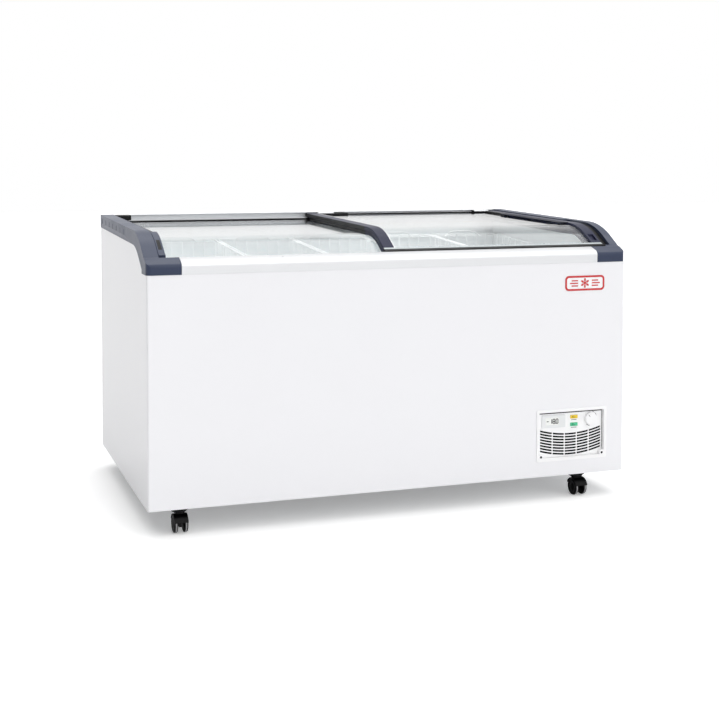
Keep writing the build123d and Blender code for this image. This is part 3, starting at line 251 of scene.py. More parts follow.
def glass(name):
    """Clear pane: see-through, with a mirror sheen and faint smears."""
    material, tree = blank(name)
    tree.nodes.remove(tree.nodes["Principled BSDF"])
    through = tree.nodes.new("ShaderNodeBsdfTransparent")
    through.inputs["Color"].default_value = GLASS_TINT
    gloss = tree.nodes.new("ShaderNodeBsdfGlossy")
    gloss.inputs["Color"].default_value = WHITE
    smear = noise(tree, *GLASS_SMEARS)
    tree.links.new(spread(tree, smear, *GLASS_ROUGHNESS), gloss.inputs["Roughness"])
    mix = tree.nodes.new("ShaderNodeMixShader")
    tree.links.new(grazing_sheen(tree), mix.inputs["Fac"])
    tree.links.new(through.outputs[0], mix.inputs[1])
    tree.links.new(gloss.outputs[0], mix.inputs[2])
    tree.links.new(mix.outputs[0], tree.nodes["Material Output"].inputs["Surface"])
    return material


PAINT = dict(coat=0.25, blotch=(1.2, 0.006), grain=(160, 0.006), vary=0.08)
BRUSHED = dict(metallic=0.5, blotch=(4, 0.01), stretch=(0.01, 1, 1), grain=(700, 0.03))
PLASTIC_GRAIN = (1500, 0.08)

# Name: 8-bit sRGB colour, roughness, and what differs from a plain surface.
SURFACES = {
    "skin_white": ((244, 244, 247), 0.3, PAINT),
    "zinc_sheet": ((176, 180, 184), 0.42, dict(metallic=0.9, blotch=(40, 0.12))),
    "liner_white": ((240, 244, 245), 0.3, dict(blotch=(2, 0.008), grain=(160, 0.006))),
    "foam": ((236, 214, 160), 0.9, dict(blotch=(60, 0.1), grain=(300, 0.5))),
    "copper": ((196, 120, 84), 0.32, dict(metallic=1.0, blotch=(60, 0.15))),
    "rail_grey": ((226, 227, 229), 0.3, BRUSHED),
    "rear_rail_white": ((226, 228, 231), 0.35, dict(metallic=0.15, blotch=(3, 0.01))),
    "cap_blue_grey": ((46, 56, 81), 0.36, dict(gloss=0.35, blotch=(8, 0.04), grain=PLASTIC_GRAIN)),
    "black_plastic": ((11, 11, 14), 0.42, dict(gloss=0.2, blotch=(12, 0.06), grain=PLASTIC_GRAIN)),
    "frame_grey": ((28, 32, 60), 0.4, dict(gloss=0.2, blotch=(8, 0.04), grain=PLASTIC_GRAIN)),
    "wire_white": ((246, 248, 248), 0.25, dict(coat=0.3, blotch=(20, 0.02), grain=(400, 0.02))),
    "panel_white": ((252, 252, 253), 0.38, dict(blotch=(10, 0.01), grain=(1800, 0.04))),
    "display_grey": ((234, 236, 237), 0.35, dict(blotch=(20, 0.02), grain=(1800, 0.04))),
    "lens_clear": ((248, 250, 247), 0.12, dict(coat=0.6, blotch=(30, 0.02))),
    "lamp_yellow": ((240, 204, 40), 0.15, dict(coat=0.6, blotch=(90, 0.05))),
    "lamp_green": ((70, 205, 150), 0.15, dict(coat=0.6, blotch=(90, 0.05))),
    "screw_steel": ((40, 40, 43), 0.4, dict(metallic=0.7, blotch=(80, 0.1))),
    "badge_red": ((200, 30, 36), 0.25, dict(coat=0.5, blotch=(20, 0.02), grain=(900, 0.02))),
    "compressor_black": ((24, 24, 26), 0.35, dict(blotch=(12, 0.1))),
    "rubber_black": ((26, 26, 27), 0.85, dict(blotch=(30, 0.15), grain=(500, 0.2))),
    "aluminium_fin": ((190, 193, 196), 0.35, dict(metallic=0.9, blotch=(50, 0.1))),
    "fan_white": ((225, 227, 229), 0.4, dict(blotch=(20, 0.03))),
    "caster_black": ((3, 3, 4), 0.34, dict(gloss=0.12, blotch=(30, 0.1), grain=(1200, 0.06))),
    "caster_steel": ((34, 34, 37), 0.3, dict(metallic=0.7, blotch=(60, 0.1))),
    # Pale grey painted as the highlight along each wheel's tread.
    "tread_band": ((150, 150, 152), 0.35, dict(blotch=(60, 0.1), grain=(900, 0.1))),
    "pane_edge": ((192, 201, 203), 0.25, dict(blotch=(20, 0.03), grain=(900, 0.02))),
    "grip_navy": ((17, 20, 38), 0.5, dict(gloss=0.08, blotch=(8, 0.04), grain=PLASTIC_GRAIN)),
    # Print, and also the painted shade on the air slots' walls and on the mesh behind them.
    "ink": ((8, 8, 10), 0.7, dict(gloss=0.1, blotch=(200, 0.1), grain=(2000, 0.02))),
}
MATERIALS = {"lid_glass": glass("lid_glass")}
for name, (color, rough, rest) in SURFACES.items():
    MATERIALS[name] = surface(name, srgb(*color), rough, **rest)

place_camera()
studio()
soft_sun("overhead", 1.7, 70, (0, -0.2, -1))
soft_sun("fill", 0.8, 60, (-0.25, 1, -0.75))
well_light(0.7)
bpy.context.scene.view_settings.view_transform = "Standard"

for name, node in nodes.items():
    node.data.materials.clear()
    node.data.materials.append(MATERIALS[slot_of[name]])


# ---------------------------------------------------------------- mesh helpers
SHARP_EDGE = math.radians(35)
FLAT_ENOUGH = math.radians(0.4)
SAME_POINT = 1e-6
ARC_STEPS = 4
OUTLINE_STEPS = 6
WIRE_SIDES = 8


def finish_mesh(mesh):
    mesh.polygons.foreach_set("use_smooth", [True] * len(mesh.polygons))
    mesh.set_sharp_from_angle(angle=SHARP_EDGE)
    mesh.update()


def make_piece(name, build, slot, body, swap=None):
    """A new piece on a body, its mesh filled in by build(work); swap names the CAD node it stands for."""
    mesh = bpy.data.meshes.new(name)
    work = bmesh.new()
    build(work)
    bmesh.ops.recalc_face_normals(work, faces=work.faces)
    work.to_mesh(mesh)
    work.free()
    mesh.materials.append(MATERIALS[slot])
    finish_mesh(mesh)
    piece = link(bpy.data.objects.new(name, mesh))
    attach(piece, body)
    if swap is not None:
        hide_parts(swap)


def two_toned_mesh(node, cuts, second, belongs):
    """Copy of the CAD node's mesh in whole flat faces, cut and coloured as softened() says."""
    mesh = nodes[node].data.copy()
    mesh.name = node + "_soft"
    work = bmesh.new()
    work.from_mesh(mesh)
    bmesh.ops.remove_doubles(work, verts=work.verts, dist=SAME_POINT)
    bmesh.ops.dissolve_limit(work, angle_limit=FLAT_ENOUGH, verts=work.verts, edges=work.edges)
    for point, normal in cuts:
        everything = work.verts[:] + work.edges[:] + work.faces[:]
        bmesh.ops.bisect_plane(work, geom=everything, plane_co=point, plane_no=normal)
    work.normal_update()
    for face in work.faces:
        face.material_index = int(belongs is not None and belongs(face.calc_center_median(), face.normal))
    mesh.materials.clear()
    mesh.materials.append(MATERIALS[slot_of[node]])
    if second is not None:
        mesh.materials.append(MATERIALS[second])
    work.to_mesh(mesh)
    work.free()
    finish_mesh(mesh)
    return mesh


def softened(node, width, segments=2, cuts=(), second=None, belongs=None):
    """The CAD node's own shape with its edges rounded, as moulded and folded parts have.
    Faces for which belongs(centre, normal) holds take the second material; each cut is a plane's
    (point, normal)."""
    mesh = two_toned_mesh(node, cuts, second, belongs)
    piece = link(bpy.data.objects.new(node + "_soft", mesh))
    bevel = piece.modifiers.new("rounding", "BEVEL")
    bevel.width = width
    bevel.segments = segments
    bevel.limit_method = "ANGLE"
    bevel.angle_limit = SHARP_EDGE
    bevel.harden_normals = True
    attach(piece, body_of[node])
    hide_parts(node)


def rounded_path(corners, radius, closed=False):
    """The corner points with each inner corner turned into a small arc."""
    count = len(corners)
    path = []
    for i, corner in enumerate(corners):
        here = Vector(corner)
        if not closed and i in (0, count - 1):
            path.append(here)
            continue
        before = Vector(corners[i - 1])
        after = Vector(corners[(i + 1) % count])
        start = here + (before - here).normalized() * radius
        end = here + (after - here).normalized() * radius
        for step in range(ARC_STEPS + 1):
            t = step / ARC_STEPS
            path.append(start * (1 - t) ** 2 + here * 2 * t * (1 - t) + end * t**2)
    return path


def join_rings(work, one, two):
    """Faces between two rings of as many vertices."""
    count = len(one)
    for i in range(count):
        j = (i + 1) % count
        work.faces.new((one[i], one[j], two[j], two[i]))


def join_nearest(work, last, first):
    """Close a tube, matching the nearest vertices of its two end rings."""
    shift = min(range(len(first)), key=lambda k: (last[0].co - first[k].co).length)
    join_rings(work, last, first[shift:] + first[:shift])


def tube(work, path, radius, closed=False):
    """Round wire along a path."""
    count = len(path)
    rings = []
    across = None
    for i, point in enumerate(path):
        before = path[i - 1] if closed or i > 0 else point
        after = path[(i + 1) % count] if closed or i < count - 1 else point
        along = (after - before).normalized()
        if across is None:
            across = along.orthogonal().normalized()
        across = (across - along * across.dot(along)).normalized()
        third = along.cross(across)
        ring = []
        for side in range(WIRE_SIDES):
            turn = 2 * math.pi * side / WIRE_SIDES
            ring.append(work.verts.new(point + (across * math.cos(turn) + third * math.sin(turn)) * radius))
        rings.append(ring)
    if closed:
        join_nearest(work, rings[-1], rings[0])
    else:
        work.faces.new(rings[0])
        work.faces.new(rings[-1])
    for one, two in zip(rings, rings[1:]):
        join_rings(work, one, two)


def prism(work, outline, y_back, y_front):
    """Plate facing the front, from an outline of (x, z) points."""
    back = [work.verts.new((x, y_back, z)) for x, z in outline]
    front = [work.verts.new((x, y_front, z)) for x, z in outline]
    work.faces.new(back)
    work.faces.new(front)
    join_rings(work, back, front)


def band(work, outer, inner, y_back, y_front):
    """Frame facing the front, between two outlines of as many points."""
    outer_back, inner_back = ([work.verts.new((x, y_back, z)) for x, z in line] for line in (outer, inner))
    outer_front, inner_front = ([work.verts.new((x, y_front, z)) for x, z in line] for line in (outer, inner))
    join_rings(work, outer_back, inner_back)
    join_rings(work, outer_front, inner_front)
    join_rings(work, outer_back, outer_front)
    join_rings(work, inner_back, inner_front)


def bar(work, start, end, width, y_back, y_front):
    """Flat bar facing the front, between two (x, z) points."""
    a, b = Vector(start), Vector(end)
    side = (b - a).normalized().orthogonal() * width / 2
    prism(work, [tuple(p) for p in (a + side, b + side, b - side, a - side)], y_back, y_front)


def rounded_outline(centre, width, height, radius):
    points = []
    for quarter, (sx, sz) in enumerate(((1, 1), (-1, 1), (-1, -1), (1, -1))):
        for step in range(OUTLINE_STEPS + 1):
            turn = math.pi / 2 * (quarter + step / OUTLINE_STEPS)
            x = centre[0] + sx * (width / 2 - radius) + radius * math.cos(turn)
            z = centre[1] + sz * (height / 2 - radius) + radius * math.sin(turn)
            points.append((x, z))
    return points


def lathe(work, profile, centre, upright=True, sides=40):
    """Turned shape: profile is (radius, place) along its axis, which stands upright or lies along X."""
    rings = []
    for radius, place in profile:
        ring = []
        for side in range(sides):
            turn = 2 * math.pi * side / sides
            a, b = radius * math.cos(turn), radius * math.sin(turn)
            offset = (a, b, place) if upright else (place, a, b)
            ring.append(work.verts.new(Vector(centre) + Vector(offset)))
        rings.append(ring)
    work.faces.new(rings[0])
    work.faces.new(rings[-1])
    for one, two in zip(rings, rings[1:]):
        join_rings(work, one, two)


# ---------------------------------------------------------------- rounded mouldings and profiles
EDGE_ROUNDING = {
    "left_end_cap": 0.003,
    "right_end_cap": 0.003,
    "front_rail": 0.0015,
    "rear_rail": 0.0015,
    "rear_rail_stop": 0.0015,
    "right_lid_outer_frame": 0.0025,
    "left_lid_front_profile": 0.001,
    "left_lid_rear_profile": 0.001,
    "panel_bezel": 0.001,
    "display_module": 0.0008,
    "thermostat_knob": 0.0012,
    "basket_ledges": 0.0006,
}
OUTER_FRAME_ROUNDING, INNER_FRAME_ROUNDING, PROFILE_ROUNDING = 0.0015, 0.002, 0.0006

# Behind their bend the lids' frames are painted black as shade: the left lid's outer frame all over, the
# inner frames on their left sides. The right lid's cross profiles are two-toned.
OUTER_SHADE_FROM, INNER_SHADE_FROM = -0.217, -0.19
FOOT_DEPTH = 0.0165
foot_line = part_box("right_lid_front_profile")[0][1] + FOOT_DEPTH


def plane_across(y):
    return (0, y, 0), (0, 1, 0)


# Painted shade: the left lid's outer frame is black behind its bend, where it lies in shade beside the end
# cap.
def painted_shade_behind_bend(centre, normal):
    return centre.y > OUTER_SHADE_FROM


# Painted shade and painted reflection: the left-facing sides of the inner frames are black behind the bend,
# for their shade and their dark reflection in the glass.
def painted_shade_inner_side(centre, normal):
    return centre.y > INNER_SHADE_FROM and normal.x < -0.5


def upper_face(centre, normal):
    return normal.z > 0.5


def pane_side_of_foot(centre, normal):
    return centre.y > foot_line and normal.z > 0.3


for name, width in EDGE_ROUNDING.items():
    softened(name, width)
softened(
    "left_lid_outer_frame", OUTER_FRAME_ROUNDING,
    cuts=[plane_across(OUTER_SHADE_FROM)], second="black_plastic", belongs=painted_shade_behind_bend,
)
for name in ("left_lid_inner_frame", "right_lid_inner_frame"):
    softened(
        name, INNER_FRAME_ROUNDING,
        cuts=[plane_across(INNER_SHADE_FROM)], second="black_plastic", belongs=painted_shade_inner_side,
    )
softened("right_lid_rear_profile", PROFILE_ROUNDING, second="rear_rail_white", belongs=upper_face)
softened(
    "right_lid_front_profile", PROFILE_ROUNDING,
    cuts=[plane_across(foot_line)], second="pane_edge", belongs=pane_side_of_foot,
)


# ---------------------------------------------------------------- strips that follow the lids' bend
BEND = Vector((-0.1996, 0.6381))  # centre, (y, z)
BEND_RADIUS = 0.2
REAR_DIP, FRONT_DIP = math.radians(1.56), math.radians(32.5)
STRIP_CORNER = 0.0012

# Places across the lids, depths below the lid curve, and places t along a strip.
LEFT_GRIP_X, LEFT_GRIP_BOTTOM = (-0.7045, -0.684), 0.022
GRIP_TOP, GRIP_FOOT, GRIP_RISE_END = 0.003, 0.018, 0.12
EDGE_SHADE_X, EDGE_SHADE_DEPTHS = (-0.7, -0.67), (0.0155, 0.019)
EDGE_TURN_START, EDGE_TURN_IN = 0.85, 0.026
SKIRT_X, SKIRT_TOP, SKIRT_RISE_END = (0.6705, 0.6745), 0.014, 0.03
SKIRT_DROP, SKIRT_STEP_START, SKIRT_STEP_DROP = 0.009, 0.13, 0.012
UPPER_TOP = 0.0022
RIGHT_GRIP_X, RIGHT_GRIP_BOTTOM = (0.6565, 0.6747), 0.0048
RIGHT_GRIP_WIDER, RIGHT_GRIP_RISE_END = 0.016, 0.06


def curve_height(depth, y):
    """Height of the lid curve at y, this deep below it."""
    radius = BEND_RADIUS - depth
    rear_y, front_y = BEND.x - radius * math.sin(REAR_DIP), BEND.x - radius * math.sin(FRONT_DIP)
    if y > rear_y:
        return BEND.y + radius * math.cos(REAR_DIP) + (y - rear_y) * math.tan(REAR_DIP)
    if y < front_y:
        return BEND.y + radius * math.cos(FRONT_DIP) - (front_y - y) * math.tan(FRONT_DIP)
    return BEND.y + math.sqrt(radius**2 - (y - BEND.x) ** 2)


def strip(work, y_rear, y_front, section, steps):
    """Strip along the lids' bend; section(t) gives (x0, x1, top depth, bottom depth).
    t runs from 0 at the rear end to 1 at the front end."""
    rows = []
    for step in range(steps + 1):
        t = step / steps
        y = y_rear + (y_front - y_rear) * t
        x0, x1, top, bottom = section(t)
        high, low = curve_height(top, y), curve_height(bottom, y)
        soft = min(STRIP_CORNER, (x1 - x0) / 3, (high - low) / 3)
        corners = [(x0, low), (x1, low), (x1, high - soft)]
        corners += [(x1 - soft, high), (x0 + soft, high), (x0, high - soft)]
        rows.append([work.verts.new((x, y, z)) for x, z in corners])
    work.faces.new(rows[0])
    work.faces.new(rows[-1])
    for one, two in zip(rows, rows[1:]):
        join_rings(work, one, two)


def eased(t, length):
    """0 at t=0, rising along a quarter circle to 1 at t=length and beyond."""
    return 1.0 if t >= length else math.sqrt(1 - (1 - t / length) ** 2)


def same_all_along(*section):
    return lambda t: section


def left_grip(t):
    """Rises out of the lid at its rear end."""
    top = GRIP_FOOT - (GRIP_FOOT - GRIP_TOP) * eased(t, GRIP_RISE_END)
    return *LEFT_GRIP_X, top, LEFT_GRIP_BOTTOM


def left_edge_shade(t):
    """Painted shade: a black strip for the dark slot between the end cap's arm and the lid. It turns in
    towards the grip at its front end.
    """
    turned_in = EDGE_TURN_IN * max(0.0, t - EDGE_TURN_START) / (1 - EDGE_TURN_START)
    return EDGE_SHADE_X[0], EDGE_SHADE_X[1] - turned_in, *EDGE_SHADE_DEPTHS


def right_skirt(t):
    """Hangs deeper in front of its step."""
    drop = SKIRT_DROP + SKIRT_STEP_DROP * (t > SKIRT_STEP_START)
    return *SKIRT_X, SKIRT_TOP, SKIRT_TOP + drop * eased(t, SKIRT_RISE_END)


def right_grip(t):
    """Widens towards the pane at its rear end."""
    wider = RIGHT_GRIP_WIDER * eased(t, RIGHT_GRIP_RISE_END)
    return RIGHT_GRIP_X[0] - wider, RIGHT_GRIP_X[1], UPPER_TOP, RIGHT_GRIP_BOTTOM


# Painted shade: a flat black patch on the left grip stands for the shade in its recess.
LEFT_RECESS_SHADE = same_all_along(-0.7, -0.689, GRIP_TOP - 0.0003, GRIP_TOP + 0.001)
MIDDLE_TRIM = same_all_along(0.0056, 0.0082, UPPER_TOP, 0.005)
RIGHT_SHOE = same_all_along(*RIGHT_GRIP_X, UPPER_TOP, 0.0235)
CENTRE_SHOE = same_all_along(0.01, 0.118, UPPER_TOP, 0.0165)

# Name, material, rear and front end, section, steps.
LEFT_LID_TRIMS = [
    ("left_lid_grip", "cap_blue_grey", -0.212, -0.352, left_grip, 40),
    ("left_lid_grip_recess_shade", "black_plastic", -0.29, -0.33, LEFT_RECESS_SHADE, 40),
    ("left_lid_edge_shade_strip", "black_plastic", 0.33, -0.267, left_edge_shade, 40),
]
RIGHT_LID_TRIMS = [
    ("right_lid_trim", "rail_grey", 0.36, -0.345, MIDDLE_TRIM, 40),
    ("right_lid_skirt", "frame_grey", 0.2, -0.338, right_skirt, 60),
    ("right_lid_grip", "grip_navy", 0.215, -0.2, right_grip, 60),
    ("right_lid_shoe", "black_plastic", 0.3845, 0.2, RIGHT_SHOE, 40),
    ("right_lid_centre_shoe", "black_plastic", 0.3845, 0.3445, CENTRE_SHOE, 6),
]


def lid_trims(glass_node, trims):
    for name, slot, y_rear, y_front, section, steps in trims:
        make_piece(name, lambda work: strip(work, y_rear, y_front, section, steps), slot, body_of[glass_node])


lid_trims("left_lid_glass", LEFT_LID_TRIMS)
lid_trims("right_lid_glass", RIGHT_LID_TRIMS)


# ---------------------------------------------------------------- wire baskets
RIM_WIRE, THIN_WIRE, HOOK_WIRE = 0.0026, 0.0017, 0.002  # radii
LOOP_CORNER, WIRE_CORNER, HOOK_CORNER, GRIP_CORNER = 0.022, 0.012, 0.003, 0.015
RIM_FRONT, RIM_REAR = 0.727, 0.772
THIN_LOOPS = (0.0, 0.34, 0.67)  # parts of the height from the base to the rim
WIRE_INSET = THIN_WIRE * 3
CROSS_WIRES, CROSS_MARGIN = 14, 0.04
LONG_WIRES, LONG_MARGIN = 6, 0.035
HOOK_REACH, HOOK_GAP, HOOK_HALF_WIDTH, HOOK_DROP = 0.0094, 0.0004, 0.1, 0.008
GRIP_INSET, GRIP_FOOT_HALF, GRIP_HALF, GRIP_DROP, GRIP_RISE = 0.006, 0.07, 0.045, 0.012, 0.008


def rim_height(box, y):
    """Height of the rim, which slopes down towards the front."""
    y0, y1 = box[0][1], box[1][1]
    return RIM_FRONT + (RIM_REAR - RIM_FRONT) * (y - y0) / (y1 - y0)


def basket_loop(work, box, fraction, radius):
    """Wire all round the basket, this part of the way up."""
    (x0, y0, base), (x1, y1, top) = box
    left, right, near, far = x0 + radius, x1 - radius, y0 + radius, y1 - radius
    corners = []
    for x, y in ((left, near), (right, near), (right, far), (left, far)):
        corners.append((x, y, base + radius + (rim_height(box, y) - radius * 2 - base) * fraction))
    tube(work, rounded_path(corners, LOOP_CORNER, closed=True), radius, closed=True)


def cross_wires(work, box):
    """Wires down the left side, across the base and up the right side."""
    (x0, y0, base), (x1, y1, top) = box
    left, right, low = x0 + WIRE_INSET, x1 - WIRE_INSET, base + WIRE_INSET
    for step in range(CROSS_WIRES):
        y = y0 + CROSS_MARGIN + step * (y1 - y0 - 2 * CROSS_MARGIN) / (CROSS_WIRES - 1)
        high = rim_height(box, y) - RIM_WIRE
        corners = [(left, y, high), (left, y, low), (right, y, low), (right, y, high)]
        tube(work, rounded_path(corners, WIRE_CORNER), THIN_WIRE)


def long_wires(work, box):
    """Wires down the front, along the base and up the rear."""
    (x0, y0, base), (x1, y1, top) = box
    near, far, low = y0 + WIRE_INSET, y1 - WIRE_INSET, base + WIRE_INSET
    near_top, far_top = rim_height(box, y0) - RIM_WIRE, rim_height(box, y1) - RIM_WIRE
    for step in range(LONG_WIRES):
        x = x0 + LONG_MARGIN + step * (x1 - x0 - 2 * LONG_MARGIN) / (LONG_WIRES - 1)
        corners = [(x, near, near_top), (x, near, low), (x, far, low), (x, far, far_top)]
        tube(work, rounded_path(corners, WIRE_CORNER), THIN_WIRE)


def hook_and_grip(work, box, y, out):
    """Hook that rests on the ledge, and the arched grip inside the rim.
    The way out of the basket is -1 at its front and 1 at its rear."""
    middle = (box[0][0] + box[1][0]) / 2
    z = rim_height(box, y)
    left, right, low = middle - HOOK_HALF_WIDTH, middle + HOOK_HALF_WIDTH, z - HOOK_DROP
    reach = y + out * (HOOK_REACH - HOOK_GAP)
    hook = [(left, y, low), (left, reach, low), (right, reach, low), (right, y, low)]
    tube(work, rounded_path(hook, HOOK_CORNER), HOOK_WIRE)
    inward = y - out * GRIP_INSET
    foot, head = z - GRIP_DROP, z + GRIP_RISE
    grip = [(middle - GRIP_FOOT_HALF, inward, foot), (middle - GRIP_HALF, inward, head)]
    grip += [(middle + GRIP_HALF, inward, head), (middle + GRIP_FOOT_HALF, inward, foot)]
    tube(work, rounded_path(grip, GRIP_CORNER), RIM_WIRE)


def wire_basket(work, tray):
    """Round-wire basket with a sloping rim, inside the box of its tray."""
    (x0, y0, base), (x1, y1, top) = tray
    y0, y1 = y0 + HOOK_REACH, y1 - HOOK_REACH
    box = (x0, y0, base), (x1, y1, top)
    basket_loop(work, box, 1.0, RIM_WIRE)
    for fraction in THIN_LOOPS:
        basket_loop(work, box, fraction, THIN_WIRE)
    cross_wires(work, box)
    long_wires(work, box)
    hook_and_grip(work, box, y0 + RIM_WIRE, -1)
    hook_and_grip(work, box, y1 - RIM_WIRE, 1)


for node in (f"basket_{number}" for number in range(1, 6)):
    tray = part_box(node)
    make_piece(f"{node}_wires", lambda work: wire_basket(work, tray), "wire_white", body_of[node], node)


# ---------------------------------------------------------------- badge
BADGE_CORNER, FIELD_CORNER, BADGE_BORDER = 0.012, 0.007, 0.006
FIELD_SUNK = 0.0004
FLAKE_REACH = 0.33  # of the badge's height
ARM_WIDTH, BARB_WIDTH = 0.0036, 0.0028
BARBS = ((0.45, 0.3), (0.72, 0.22))  # where on the arm, and how long, as parts of the arm
LAYER, BARB_LAYER = 0.00002, 0.00013  # keep the faces of crossing bars apart
STRIPE_START, STRIPE_END, STRIPE_SHORTER = 0.024, 0.052, 0.006
STRIPE_PITCH, STRIPE_WIDTH = 0.008, 0.0038


def direction(turn):
    return Vector((math.cos(turn), math.sin(turn)))


def snowflake(work, centre, reach, y_back, y_front):
    """Six arms with two pairs of barbs each."""
    middle = Vector(centre)
    for arm in range(6):
        turn = math.pi / 6 + math.pi / 3 * arm
        tip = middle + direction(turn) * reach
        bar(work, centre, tip, ARM_WIDTH, y_back, y_front + LAYER * arm)
        for at, size in BARBS:
            root = middle + direction(turn) * reach * at
            for lean in (-1, 1):
                end = root + direction(turn + lean * math.pi / 4) * reach * size
                bar(work, root, end, BARB_WIDTH, y_back, y_front + BARB_LAYER + LAYER * (lean + 1))


def stripes(work, centre, y_back, y_front):
    """Three stripes on each side of the snowflake, the middle one longest."""
    for side in (-1, 1):
        for row in (-1, 0, 1):
            near = centre[0] + side * STRIPE_START
            far = centre[0] + side * (STRIPE_END - STRIPE_SHORTER * abs(row))
            z = centre[1] + row * STRIPE_PITCH
            bar(work, (near, z), (far, z), STRIPE_WIDTH, y_back, y_front)


def badge():
    (x0, front, z0), (x1, back, z1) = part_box("badge_plate")
    body = body_of["badge_plate"]
    centre = ((x0 + x1) / 2, (z0 + z1) / 2)
    width, height = x1 - x0, z1 - z0
    outer = rounded_outline(centre, width, height, BADGE_CORNER)
    inner = rounded_outline(centre, width - 2 * BADGE_BORDER, height - 2 * BADGE_BORDER, FIELD_CORNER)
    field = front + FIELD_SUNK
    reach = height * FLAKE_REACH

    def piece(name, build, slot, *args, swap=None):
        make_piece(name, lambda work: build(work, *args), slot, body, swap)

    piece("badge_border", band, "badge_red", outer, inner, back, front, swap="badge_plate")
    piece("badge_field", prism, "panel_white", inner, back, field)
    piece("badge_snowflake", snowflake, "badge_red", centre, reach, field, front)
    piece("badge_stripes", stripes, "badge_red", centre, field, front)


badge()


# ---------------------------------------------------------------- service panel
PRINT_THICKNESS = 0.0002
panel_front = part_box("grille_panel")[0][1]
panel_body = body_of["grille_panel"]

SEGMENTS = {  # ends of each bar of a digit, as (column, row)
    "a": ((0, 2), (1, 2)),
    "b": ((1, 2), (1, 1)),
    "c": ((1, 1), (1, 0)),
    "d": ((0, 0), (1, 0)),
    "e": ((0, 1), (0, 0)),
    "f": ((0, 2), (0, 1)),
    "g": ((0, 1), (1, 1)),
}
LIT_SEGMENTS = ("g", "bc", "abcdefg", "abcdef")
DIGIT_SIZE, DIGIT_PITCH, DIGIT_STROKE = 0.0066, 1.62, 0.0024
DIGITS_INSET = 0.004
POINT_PLACE, POINT_HALF, POINT_STROKE = 3 * DIGIT_PITCH - 0.31, 0.0007, 0.0021


def digits(work):
    """A small negative temperature in bars, with its decimal point."""
    (x0, y_front, z0), (x1, y_back, z1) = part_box("display_lens")
    left = x0 + DIGITS_INSET
    bottom = (z0 + z1) / 2 - DIGIT_SIZE
    raised = y_front - PRINT_THICKNESS
    for place, lit in enumerate(LIT_SEGMENTS):
        corner = Vector((left + place * DIGIT_SIZE * DIGIT_PITCH, bottom))
        for segment in lit:
            start, end = (corner + Vector(step) * DIGIT_SIZE for step in SEGMENTS[segment])
            bar(work, start, end, DIGIT_STROKE, y_front, raised)
    point = left + POINT_PLACE * DIGIT_SIZE
    bar(work, (point - POINT_HALF, bottom), (point + POINT_HALF, bottom), POINT_STROKE, y_front, raised)


DIAL_RADIUS = 0.0225
DIAL_ARCS = (  # from, to, stroke, steps; angles in degrees
    (-38, 6, 0.0022, 12),
    (14, 44, 0.0016, 12),
    (52, 72, 0.0010, 6),
    (232, 262, 0.0014, 8),
)
POINTER_FROM, POINTER_TO, POINTER_STROKE = (-0.0045, 0.0058), (-0.0095, 0.0122), 0.0011
POINTER_GROOVE = (0.0006, 0.0003)  # depths of its back and its face


def knob_centre():
    (x0, y0, z0), (x1, y1, z1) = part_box("thermostat_knob")
    return Vector(((x0 + x1) / 2, (z0 + z1) / 2))


def dial_marks(work):
    """Printed arcs around the knob that grow from thin to thick."""
    centre = knob_centre()
    for start, end, stroke, steps in DIAL_ARCS:
        turns = [math.radians(start + (end - start) * step / steps) for step in range(steps + 1)]
        points = [centre + direction(turn) * DIAL_RADIUS for turn in turns]
        for near, far in zip(points, points[1:]):
            bar(work, near, far, stroke, panel_front, panel_front - PRINT_THICKNESS)


def knob_pointer(work):
    centre = knob_centre()
    y_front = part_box("thermostat_knob")[0][1]
    near, far = centre + Vector(POINTER_FROM), centre + Vector(POINTER_TO)
    bar(work, near, far, POINTER_STROKE, *(y_front + depth for depth in POINTER_GROOVE))


CAPTION_INSET, CAPTION_DROP, CAPTION_STROKE = 0.003, 0.004, 0.0015
SIGN_INSET, SIGN_STROKE = 0.004, 0.0016
SIGN_LINES = ((0.68, 0.011), (0.36, 0.015))  # part of the lamp's height, and where the line ends


def lamp_labels(work):
    """A plain dash under each lamp, and two on it."""
    for lamp in ("power_lamp", "compressor_lamp"):
        (x0, y0, z0), (x1, y1, z1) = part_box(lamp)
        caption = z0 - CAPTION_DROP
        start, end = (x0 + CAPTION_INSET, caption), (x1 - CAPTION_INSET, caption)
        bar(work, start, end, CAPTION_STROKE, panel_front, panel_front - PRINT_THICKNESS)
        for part, reach in SIGN_LINES:
            z = z0 + (z1 - z0) * part
            bar(work, (x0 + SIGN_INSET, z), (x0 + reach, z), SIGN_STROKE, y0 + PRINT_THICKNESS, y0)


SLOTS_X, SLOTS_Z = (0.455, 0.68), (0.12, 0.212)
PANEL_ROUNDING = 0.0003
GAP_THICKNESS, TOP_GAP, SIDE_GAP = 0.0003, 0.0048, 0.0012
TOP_GAP_INSET, SIDE_GAP_FOOT, SIDE_GAP_HEAD = 0.001, 0.02, 0.003
FILTER_LAYERS = (0.004, 0.0048, 0.0056)  # behind the panel
FILTER_INSET, FILTER_FOOT, FILTER_HEIGHT = 0.004, 0.002, 0.092
FILTER_ROWS, FILTER_COLUMNS = 44, 54
ROW_STROKE, COLUMN_STROKE = 0.0018, 0.0036


def slot_wall_shade(centre, normal):
    """Painted shade: the walls of the air slots, coloured near black for the shade behind the panel's face.
    """
    in_slots = SLOTS_Z[0] < centre.z < SLOTS_Z[1] and SLOTS_X[0] < centre.x < SLOTS_X[1]
    return normal.y > -0.5 and in_slots


def panel_gap_shadow(work):
    """Painted shadow: a dark strip in the gap between the rim and the sunken panel, widest along the top."""
    (x0, y_front, z0), (x1, y_back, z1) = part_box("grille_panel")
    raised = y_front - GAP_THICKNESS
    top, side = z1 - TOP_GAP / 2, x1 - SIDE_GAP
    bar(work, (x0 + TOP_GAP_INSET, top), (x1 - TOP_GAP_INSET, top), TOP_GAP, y_front, raised)
    bar(work, (side, z0 + SIDE_GAP_FOOT), (side, z1 - SIDE_GAP_HEAD), SIDE_GAP, y_front, raised)


